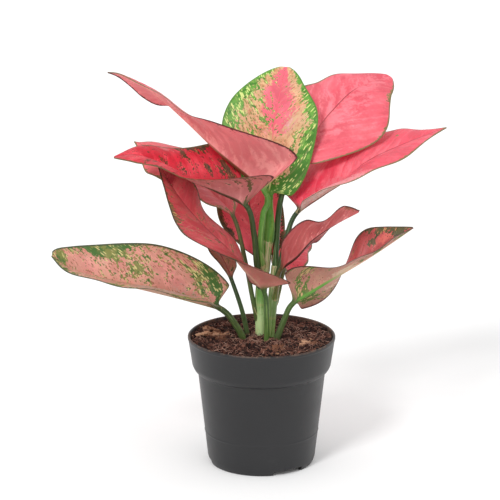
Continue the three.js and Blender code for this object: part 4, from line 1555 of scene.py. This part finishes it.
@dataclass(frozen=True)
class Pot:
    """The nursery pot: one moulded plastic body, turned, with gaps in its foot ring and drain holes."""

    sides: int = 216
    fillet: float = 0.9
    wobble: float = 0.12

    def profile(self) -> Array:
        """The pot's section, from under its middle out, up, over the rim and down to its floor."""
        shoulder = (BODY_TOP_RADIUS + 0.6 * (COLLAR_FOOT_RADIUS - BODY_TOP_RADIUS), BODY_TOP_Z + 1.9)
        corners = [
            (HUB, 0.0),
            (PAD_RADIUS, 0.0),
            (PAD_RADIUS + FOOT_SLOPE, FLOOR_Z),
            (FOOT_RADIUS - WALL - FOOT_SLOPE, FLOOR_Z),
            (FOOT_RADIUS - WALL, 0.0),
            (FOOT_RADIUS, 0.0),
            (FOOT_RADIUS + FOOT_SLOPE, FOOT_TOP_Z),
            (BODY_FOOT_RADIUS, BODY_FOOT_Z),
            (body_radius(BEAD_Z - BEAD_HALF), BEAD_Z - BEAD_HALF),
            (body_radius(BEAD_Z) + BEAD_HEIGHT, BEAD_Z),
            (body_radius(BEAD_Z + BEAD_HALF), BEAD_Z + BEAD_HALF),
            (BODY_TOP_RADIUS, BODY_TOP_Z),
            shoulder,
            (COLLAR_FOOT_RADIUS - COLLAR_TUCK, COLLAR_FOOT_Z - COLLAR_DROP),
            (COLLAR_FOOT_RADIUS, COLLAR_FOOT_Z),
            (RIM_RADIUS - ROLL_TUCK, POT_HEIGHT - ROLL_FOOT),
            (RIM_RADIUS, POT_HEIGHT - ROLL_HEIGHT),
            (RIM_RADIUS, POT_HEIGHT - ROLL_EDGE),
            (RIM_RADIUS - ROLL_EDGE, POT_HEIGHT),
            (RIM_RADIUS - WALL + 0.5, POT_HEIGHT),
            *INSIDE[::-1],
            (HUB, FLOOR_TOP),
        ]
        return rounded(corners, self.fillet)

    def rings(self) -> Array:
        """Rings round the axis. In each foot gap the foot ring's points are lifted to the gap's
        height, and the tall walls wobble by a small three-fold wave, as thin moulded plastic does."""
        middles = FIRST_FOOT_GAP + 360.0 / FOOT_GAPS * np.arange(FOOT_GAPS)
        jambs = (middles[:, None] + FOOT_GAP_ANGLE / 2 * np.array([-1.0, 1.0])).ravel()
        steps = (jambs[:, None] + JAMB_STEP * np.array([-1.0, 1.0])).ravel() % 360.0
        turn = np.sort(np.concatenate([np.linspace(0, 360, self.sides, endpoint=False), steps]))
        profile = self.profile()
        radius, height = profile[:, 0:1], profile[:, 1:2]
        off = np.abs((turn[None, :] - middles[:, None] + 180.0) % 360.0 - 180.0).min(axis=0)
        inside_gap = (off < FOOT_GAP_ANGLE / 2)[None, :]
        in_ring = (radius > FOOT_RADIUS - WALL - 1.0) & (height < FOOT_GAP_HEIGHT)
        z = np.where(inside_gap & in_ring, FOOT_GAP_HEIGHT, height + 0.0 * turn[None, :])
        angle = np.radians(turn - 90.0)[None, :]
        sway = self.wobble * np.sin(3.0 * angle + 0.7) * np.sin(np.pi * np.clip(height / POT_HEIGHT, 0, 1))
        r = radius + sway * (radius > BODY_FOOT_RADIUS - 3.0)
        return np.stack([r * np.cos(angle), r * np.sin(angle), z], -1)

    def material(self) -> bpy.types.Material:
        """Dark moulded plastic: fine grain, faint scuffs, dust on what faces up, and brown soil
        rubbed on the lip and the inside, the lip's light brown band also a painted highlight."""
        coat = Coat("pot_moulded_plastic")
        g = coat.graph
        place = g.object_place()
        x, y, z = g.parts(place)
        radius = g.maths("SQRT", x * x + y * y)
        facing_x, facing_y, facing_up = g.parts(g.out(g.add("ShaderNodeNewGeometry", {}), "Normal"))
        outward = g.maths("DIVIDE", x * facing_x + y * facing_y, radius)
        grain = g.noise(place, 900.0)
        scuff = g.noise(place, 60.0, 4.0, 0.65)
        dust = g.noise(place, 220.0, 3.0, 0.7)
        colour = g.mix(g.ease(g.noise(place, 14.0), 0.3, 0.7), linear(PLASTIC_DARK), linear(PLASTIC_LIGHT))
        colour = g.mix(g.ease(scuff, 0.6, 0.8) * 0.15, colour, linear(SCUFF_PAINT))
        inside = 1.0 - g.ease(outward, -0.5, 0.1)
        # The lighter brown on the lip is soil and also a painted highlight along the rim's top.
        lip = g.ease(z, (POT_HEIGHT - 1.6) * MM, (POT_HEIGHT - 0.2) * MM)
        soil_smear_and_lip_highlight = g.maths("MAXIMUM", lip * 0.6, inside) * g.ease(dust + g.swing(scuff, 0.8), 0.35, 0.62)
        colour = g.mix(soil_smear_and_lip_highlight * 0.8, colour, linear(SOIL_AND_LIP_HIGHLIGHT_PAINT))
        ledge = g.ease(facing_up, 0.3, 0.9) * g.ease(dust, 0.4, 0.7)
        coat.feed(
            Base_Color=g.mix(ledge * 0.35, colour, linear(DUST_PAINT)),
            Roughness=0.42 + g.swing(scuff, 0.2) + soil_smear_and_lip_highlight * 0.3,
            Specular_IOR_Level=0.45,
        )
        coat.bump(grain * 0.5 + soil_smear_and_lip_highlight * 0.6, 0.35, 0.15)
        return coat.material

    def build(self) -> None:
        """Turns the pot, cuts its drain holes and settles it in place of its solid."""
        item = Form.skin(self.rings()).piece("nursery_pot", self.material())
        turn = 2.0 * np.pi * np.arange(32) / 32
        circle = DRAIN_RADIUS * np.stack([np.cos(turn), np.sin(turn), 0 * turn], -1)
        drills = []
        for i in range(DRAIN_HOLES):
            angle = 2.0 * math.pi * i / DRAIN_HOLES - math.pi / 2
            middle = np.array([DRAIN_CIRCLE * math.cos(angle), DRAIN_CIRCLE * math.sin(angle), 0.0])
            rings = np.stack([circle + middle + (0, 0, z) for z in (FLOOR_Z - 1, FLOOR_TOP + 1)])
            drills.append(Form.skin(rings))
        drill = Form.joined(drills).piece("drain_drill", item.data.materials[0])
        cut = item.modifiers.new("drain_holes", "BOOLEAN")
        cut.operation, cut.object, cut.solver = "DIFFERENCE", drill, "MANIFOLD"
        depsgraph = bpy.context.evaluated_depsgraph_get()
        bored = bpy.data.meshes.new_from_object(item.evaluated_get(depsgraph))
        item.modifiers.clear()
        item.data = bored
        bpy.data.objects.remove(drill)
        bored.shade_smooth()
        bored.set_sharp_from_angle(angle=math.radians(42))
        settle(item, ("pot",))


# ==== soil ==========================================================================================
# The crumble's height, spacing and random lattice, and the hollow's place, size and depth.
CRUMBLES = ((0.9, 5.3, 11), (0.55, 2.3, 12), (0.35, 1.1, 13))
HOLLOW_X, HOLLOW_Y = 26.0, 20.0
HOLLOW_WIDE, HOLLOW_LONG = 4.2, 6.5
HOLLOW_DEPTH = 5.5
# A lump's corners and faces before it is roughened.
GOLD = (1.0 + 5.0**0.5) / 2.0
LUMP_CORNERS = (
    (-1, GOLD, 0), (1, GOLD, 0), (-1, -GOLD, 0), (1, -GOLD, 0),
    (0, -1, GOLD), (0, 1, GOLD), (0, -1, -GOLD), (0, 1, -GOLD),
    (GOLD, 0, -1), (GOLD, 0, 1), (-GOLD, 0, -1), (-GOLD, 0, 1),
)
LUMP_FACES = (
    (0, 11, 5), (0, 5, 1), (0, 1, 7), (0, 7, 10), (0, 10, 11), (1, 5, 9), (5, 11, 4), (11, 10, 2),
    (10, 7, 6), (7, 1, 8), (3, 9, 4), (3, 4, 2), (3, 2, 6), (3, 6, 8), (3, 8, 9), (4, 9, 5),
    (2, 4, 11), (6, 2, 10), (8, 6, 7), (9, 8, 1),
)
# The least and greatest sizes of what lies on the soil, and the places that its bark chips lie round,
# how far they spread, and how much larger and higher the chips of the heap are.
CRUMB_RADII = (0.35, 1.2)
CLOD_RADII = (1.1, 2.5)
FIBRE_LENGTHS = (4.0, 14.0)
FIBRE_RADII = (0.08, 0.2)
FIBRE_LIFTS = (0.2, 2.2)
FIBRE_BEND = 3.6
CHIP_SPREADS = (4.0, 6.0)
HEAP_SIZE = 1.2
HEAP_HEIGHT = 1.8
CHIP_SPOTS = ((-39.0, 4.0), (37.0, -16.0), (-39.0, 4.0), (8.0, -36.0))
CHIP_SIZES = ((2.0, 5.2), (1.2, 2.8), (0.5, 1.1))
# The colours of the mix, the fibres and the chips, from dark to light.
BROWNS = ((24, 15, 14), (42, 25, 22), (66, 40, 34), (94, 60, 50), (124, 84, 70))
RUSTS = ((74, 42, 36), (118, 74, 62), (158, 112, 96), (196, 156, 138))
TANS = ((118, 78, 58), (160, 116, 90), (196, 152, 122))


@dataclass(frozen=True)
class Soil:
    """The potting mix: a crumbled top with crumbs, clods, coir fibres and bark chips lying on it."""

    crumbs: int = 3000
    clods: int = 260
    fibres: int = 1200
    chips: int = 32
    seed: int = 4

    @staticmethod
    def edge() -> float:
        """The soil's radius at its top, where it meets the pot's wall."""
        (low, low_z), (rim, rim_z) = INSIDE[3], INSIDE[4]
        return low + (rim - low) * (SOIL_LEVEL - low_z) / (rim_z - low_z) - CLEARANCE

    @staticmethod
    def height(x: Array, y: Array) -> Array:
        """The soil's top: long and short swells, with three sizes of crumble and a small hollow.

        Args:
            x: Places across.
            y: Places back.

        Returns:
            Heights over the pot's foot.
        """
        long = np.sin(0.11 * x + 1.3) * np.cos(0.13 * y + 0.4)
        short = np.sin(0.31 * x - 0.23 * y) * np.cos(0.37 * y + 0.12 * x)
        inward = smooth(Soil.edge() - np.hypot(x, y), 0.0, SOIL_EDGE)
        crumble = sum(high * lattice_noise(x, y, cell, seed) for high, cell, seed in CRUMBLES)
        off = ((x - HOLLOW_X) / HOLLOW_WIDE) ** 2 + ((y - HOLLOW_Y) / HOLLOW_LONG) ** 2
        hollow = HOLLOW_DEPTH * np.exp(-off)
        swell = SOIL_BUMP * (0.55 * long + 0.45 * short) + 0.4
        return SOIL_LEVEL + inward * (swell - hollow) + (0.35 + 0.65 * inward) * crumble

    def bed(self) -> Form:
        """The soil's body: its floor, its wall a clearance inside the pot's, and its crumbled top."""
        turn = np.linspace(0.0, 2.0 * np.pi, 300, endpoint=False)
        wall = [(radius - CLEARANCE, z) for radius, z in INSIDE[1:4]]
        low = [(1.0, FLOOR_TOP + CLEARANCE), (INSIDE[0][0] - CLEARANCE, FLOOR_TOP + CLEARANCE)]
        sides = np.array([*low, *wall])
        tops = self.edge() * np.linspace(1.0, 0.01, 92)
        radius = np.concatenate([sides[:, 0], tops])[:, None]
        x, y = radius * np.cos(turn), radius * np.sin(turn)
        z = np.concatenate([np.repeat(sides[:, 1:], len(turn), axis=1), self.height(x[5:], y[5:])])
        rings = np.stack([x, y, z], -1)
        return Form.skin(rings, {"shade": np.full(rings.shape, 0.3)})

    def scatter(self, draws: np.random.Generator, count: int, reach: float) -> tuple[Array, Array, Array]:
        """Even random places on the soil.

        Args:
            draws: Where the random numbers come from.
            count: How many.
            reach: The largest radius.

        Returns:
            The places across and back, and the soil's height there.
        """
        radius = reach * np.sqrt(draws.uniform(0.0, 1.0, count))
        turn = draws.uniform(0.0, 2.0 * np.pi, count)
        x, y = radius * np.cos(turn), radius * np.sin(turn)
        return x, y, self.height(x, y)

    def lumps(self, draws: np.random.Generator, count: int, small: float, large: float) -> Form:
        """Crumbs: rough twenty-sided lumps, each stretched, turned and set part way in the soil.

        Args:
            draws: Where the random numbers come from.
            count: How many.
            small: The least radius.
            large: The largest radius.

        Returns:
            All of them as one form.
        """
        corners, faces = unit(np.array(LUMP_CORNERS, float)), np.array(LUMP_FACES)
        size = small * (large / small) ** (draws.uniform(0.0, 1.0, count) ** 2.2)
        x, y, z = self.scatter(draws, count, self.edge() - large)
        body = corners[None] * draws.uniform(0.65, 1.25, (count, 12, 1))
        body = body * draws.uniform(0.55, 1.3, (count, 1, 3)) * size[:, None, None]
        turn = draws.uniform(0, 2 * np.pi, count)[:, None]
        lean = draws.uniform(-0.6, 0.6, count)[:, None]
        across = body[..., 0] * np.cos(turn) - body[..., 1] * np.sin(turn)
        back = body[..., 0] * np.sin(turn) + body[..., 1] * np.cos(turn)
        leant = across * np.cos(lean) - body[..., 2] * np.sin(lean)
        up = across * np.sin(lean) + body[..., 2] * np.cos(lean)
        body = np.stack([leant, back, up], -1) + np.stack([x, y, z + 0.25 * size], -1)[:, None]
        tone = np.repeat(draws.uniform(0.0, 1.0, count), 12)
        triangles = (faces[None] + 12 * np.arange(count)[:, None, None]).reshape(-1, 3)
        marks = {"shade": np.stack([tone, tone, tone], -1)}
        return Form(body.reshape(-1, 3), np.zeros((0, 4), int), triangles, marks)

    def threads(self, draws: np.random.Generator) -> Form:
        """Coir fibres: thin four-sided tubes that lie on the soil, each bent into a slack curve.

        A fibre's path turns steadily by a random bend, plus a wave, and lifts a little in its middle.

        Args:
            draws: Where the random numbers come from.

        Returns:
            All of them as one form.
        """
        steps, count = 9, self.fibres

        def draw(low: float, high: float) -> Array:
            """A random number for each fibre, as a column."""
            return draws.uniform(low, high, count)[:, None]

        x, y, _ = self.scatter(draws, count, self.edge() - 3.0)
        long = draw(*FIBRE_LENGTHS)
        s = np.linspace(-0.5, 0.5, steps)[None, :]
        heading = draw(0, 2 * np.pi) + draw(-FIBRE_BEND, FIBRE_BEND) * s
        heading = heading + 0.5 * np.sin(9.0 * s + draw(0, 6.3))
        px = x[:, None] + np.cumsum(np.cos(heading), axis=1) * long / steps
        py = y[:, None] + np.cumsum(np.sin(heading), axis=1) * long / steps
        over = np.maximum(np.hypot(px, py) / (self.edge() - 0.8), 1.0)
        px, py = px / over, py / over
        lift = draw(*FIBRE_LIFTS) * (1.0 - (2.0 * s) ** 2)
        path = np.stack([px, py, self.height(px, py) + 0.15 + lift], -1)
        thick = (draw(*FIBRE_RADII) * (1.0 - 0.6 * (2.0 * np.abs(s)) ** 2))[..., None, None]
        side = np.stack([-np.sin(heading), np.cos(heading), 0 * heading], -1)[:, :, None]
        turn = 0.5 * np.pi * np.arange(4)[:, None]
        ring = path[:, :, None] + thick * (side * np.cos(turn) + np.array([0.0, 0.0, 1.0]) * np.sin(turn))
        tone = np.broadcast_to(draw(0.0, 1.0)[..., None, None], (count, steps, 4, 3))
        return Form.joined([Form.skin(ring[i], {"shade": tone[i]}) for i in range(count)])

    def bark(self, draws: np.random.Generator) -> Form:
        """Bark chips: flat rough slabs round three places where the mix is chippy, the first of them
        a small heap of larger chips.

        Args:
            draws: Where the random numbers come from.

        Returns:
            All of them as one form.
        """
        forms = []
        for i in range(self.chips):
            spot = CHIP_SPOTS[i % len(CHIP_SPOTS)]
            size, pile = (1.0, 0.0) if i % 2 else (HEAP_SIZE, HEAP_HEIGHT)
            x, y = (middle + draws.normal(0, spread) for middle, spread in zip(spot, CHIP_SPREADS))
            over = max(math.hypot(x, y) / (self.edge() - 5.0 - 3.0 * size), 1.0)
            x, y = x / over, y / over
            long, wide, thick = (size * draws.uniform(*span) for span in CHIP_SIZES)
            u, v = np.meshgrid(np.linspace(-1, 1, 9), np.linspace(-1, 1, 7), indexing="ij")
            rough = 1.0 + 0.25 * draws.normal(0, 1, u.shape) * (np.maximum(abs(u), abs(v)) > 0.9)
            turn, lean = draws.uniform(0, np.pi), draws.uniform(-0.5, 0.5)
            a, b = long * u * rough, wide * v * rough
            c = 0.25 * draws.normal(0, 1, u.shape) + lean * a * 0.6
            grid = np.stack([a * np.cos(turn) - b * np.sin(turn), a * np.sin(turn) + b * np.cos(turn), c], -1)
            rise = 0.7 + pile * draws.uniform(0.0, 1.0)
            grid = grid + (x, y, float(self.height(np.array(x), np.array(y))) + rise)
            normal = np.broadcast_to(np.array([0.0, 0.0, 1.0]), grid.shape)
            tone = np.full(grid.shape, draws.uniform(0.0, 1.0))
            forms.append(Form.sheet(grid, normal, np.full((*u.shape, 1), thick), {"shade": tone}))
        return Form.joined(forms)

    def material(self, name: str, tones: tuple[Paint, ...], gloss: float) -> bpy.types.Material:
        """Crumbly matter whose tone changes from lump to lump and over each lump.

        Args:
            name: The material's name.
            tones: Its colours from dark to light.
            gloss: How much smoother than chalk it is.

        Returns:
            The material.
        """
        coat = Coat(name)
        g = coat.graph
        place = g.object_place()
        grit = g.noise(place, 700.0, 3.0, 0.7)
        cloud = g.noise(place, 90.0, 3.0, 0.6)
        level = g.parts(g.mark("shade"))[0] + g.swing(grit, 0.9) + g.swing(cloud, 0.9)
        colour = linear(tones[0])
        for i, paint in enumerate(tones[1:], 1):
            step = i / len(tones)
            colour = g.mix(g.ease(level, step - 0.15, step + 0.15), colour, linear(paint))
        coat.feed(Base_Color=colour, Roughness=(1.0 - gloss) + g.swing(grit, 0.2), Specular_IOR_Level=0.25)
        coat.bump(grit + cloud, 0.9, 0.6)
        return coat.material

    def build(self) -> None:
        """Makes the soil's body, crumbs, clods, fibres and chips."""
        draws = np.random.default_rng(self.seed)
        mix = self.material("potting_mix", BROWNS, 0.08)
        settle(self.bed().piece("soil_bed", mix), ("soil",))
        crumbs = self.lumps(draws, self.crumbs, *CRUMB_RADII)
        settle(crumbs.piece("soil_crumbs", mix, 30.0))
        clods = self.lumps(draws, self.clods, *CLOD_RADII)
        settle(clods.piece("soil_clods", mix, 40.0))
        coir = self.material("coir_fibre", RUSTS, 0.3)
        settle(self.threads(draws).piece("coir_fibres", coir))
        chip = self.material("bark_chip", TANS, 0.15)
        settle(self.bark(draws).piece("bark_chips", chip, 40.0))


# ==== studio ========================================================================================
@dataclass(frozen=True)
class Lamp:
    """A soft far light: how far round to the left of the front it stands and how high, in degrees,
    how strong it is, and how wide it looks, in degrees."""

    name: str
    leftward: float
    height: float
    power: float
    width: float

    def hang(self) -> None:
        """Puts the light in the scene."""
        light = bpy.data.lights.new(self.name, "SUN")
        light.energy, light.angle = self.power, math.radians(self.width)
        item = bpy.data.objects.new(self.name, light)
        item.rotation_euler = (math.radians(90.0 - self.height), 0.0, math.radians(-self.leftward))
        bpy.context.scene.collection.objects.link(item)


@dataclass(frozen=True)
class Studio:
    """The plain pale floor, the soft light and the camera at the photograph's angle."""

    floor_reach: float = 9.0
    floor_tone: float = 0.98
    sky: float = 0.87
    lamps: tuple[Lamp, ...] = (
        Lamp("key_light", 29.0, 39.0, 1.35, 14.0),
        Lamp("fill_light", -31.0, 35.0, 0.3, 50.0),
    )

    def build(self) -> None:
        """Makes the floor, the lights and the camera."""
        reach = self.floor_reach
        corners = [(-reach, -reach, 0.0), (reach, -reach, 0.0), (reach, reach, 0.0), (-reach, reach, 0.0)]
        mesh = bpy.data.meshes.new("floor")
        mesh.from_pydata(corners, [], [(0, 1, 2, 3)])
        floor = bpy.data.objects.new("floor", mesh)
        bpy.context.scene.collection.objects.link(floor)
        coat = Coat("pale_floor")
        g = coat.graph
        light, dark = ([tone] * 3 + [1.0] for tone in (self.floor_tone, self.floor_tone - 0.01))
        tint = g.mix(g.noise(g.object_place(), 3.0), dark, light)
        coat.feed(Base_Color=tint, Roughness=0.9, Specular_IOR_Level=0.0)
        mesh.materials.append(coat.material)
        world = bpy.data.worlds.new("studio")
        world.use_nodes = True
        world.node_tree.nodes["Background"].inputs["Color"].default_value = (1.0, 1.0, 1.0, 1.0)
        world.node_tree.nodes["Background"].inputs["Strength"].default_value = self.sky
        scene = bpy.context.scene
        scene.world = world
        scene.view_settings.view_transform = "Standard"
        for lamp in self.lamps:
            lamp.hang()
        lens = bpy.data.cameras.new("camera")
        lens.lens, lens.sensor_width = LENS, SENSOR
        lens.clip_end = 100.0
        camera = bpy.data.objects.new("camera", lens)
        camera.location = [MM * value for value in CAMERA_PLACE]
        camera.rotation_euler = (math.radians(90.0 - CAMERA_PITCH), 0.0, 0.0)
        scene.collection.objects.link(camera)
        scene.camera = camera


def main() -> None:
    """Builds the studio, the pot, the soil, the canes and the leaves."""
    logging.basicConfig(level=logging.INFO, format="%(name)s: %(message)s")
    Studio().build()
    Pot().build()
    Soil().build()
    face, skin = face_effect(), stalk_effect()
    for cane in CANES:
        cane.build(skin)
    for form in LEAVES:
        Leaf(form).build(face, skin)


if __name__ == "__main__":
    main()
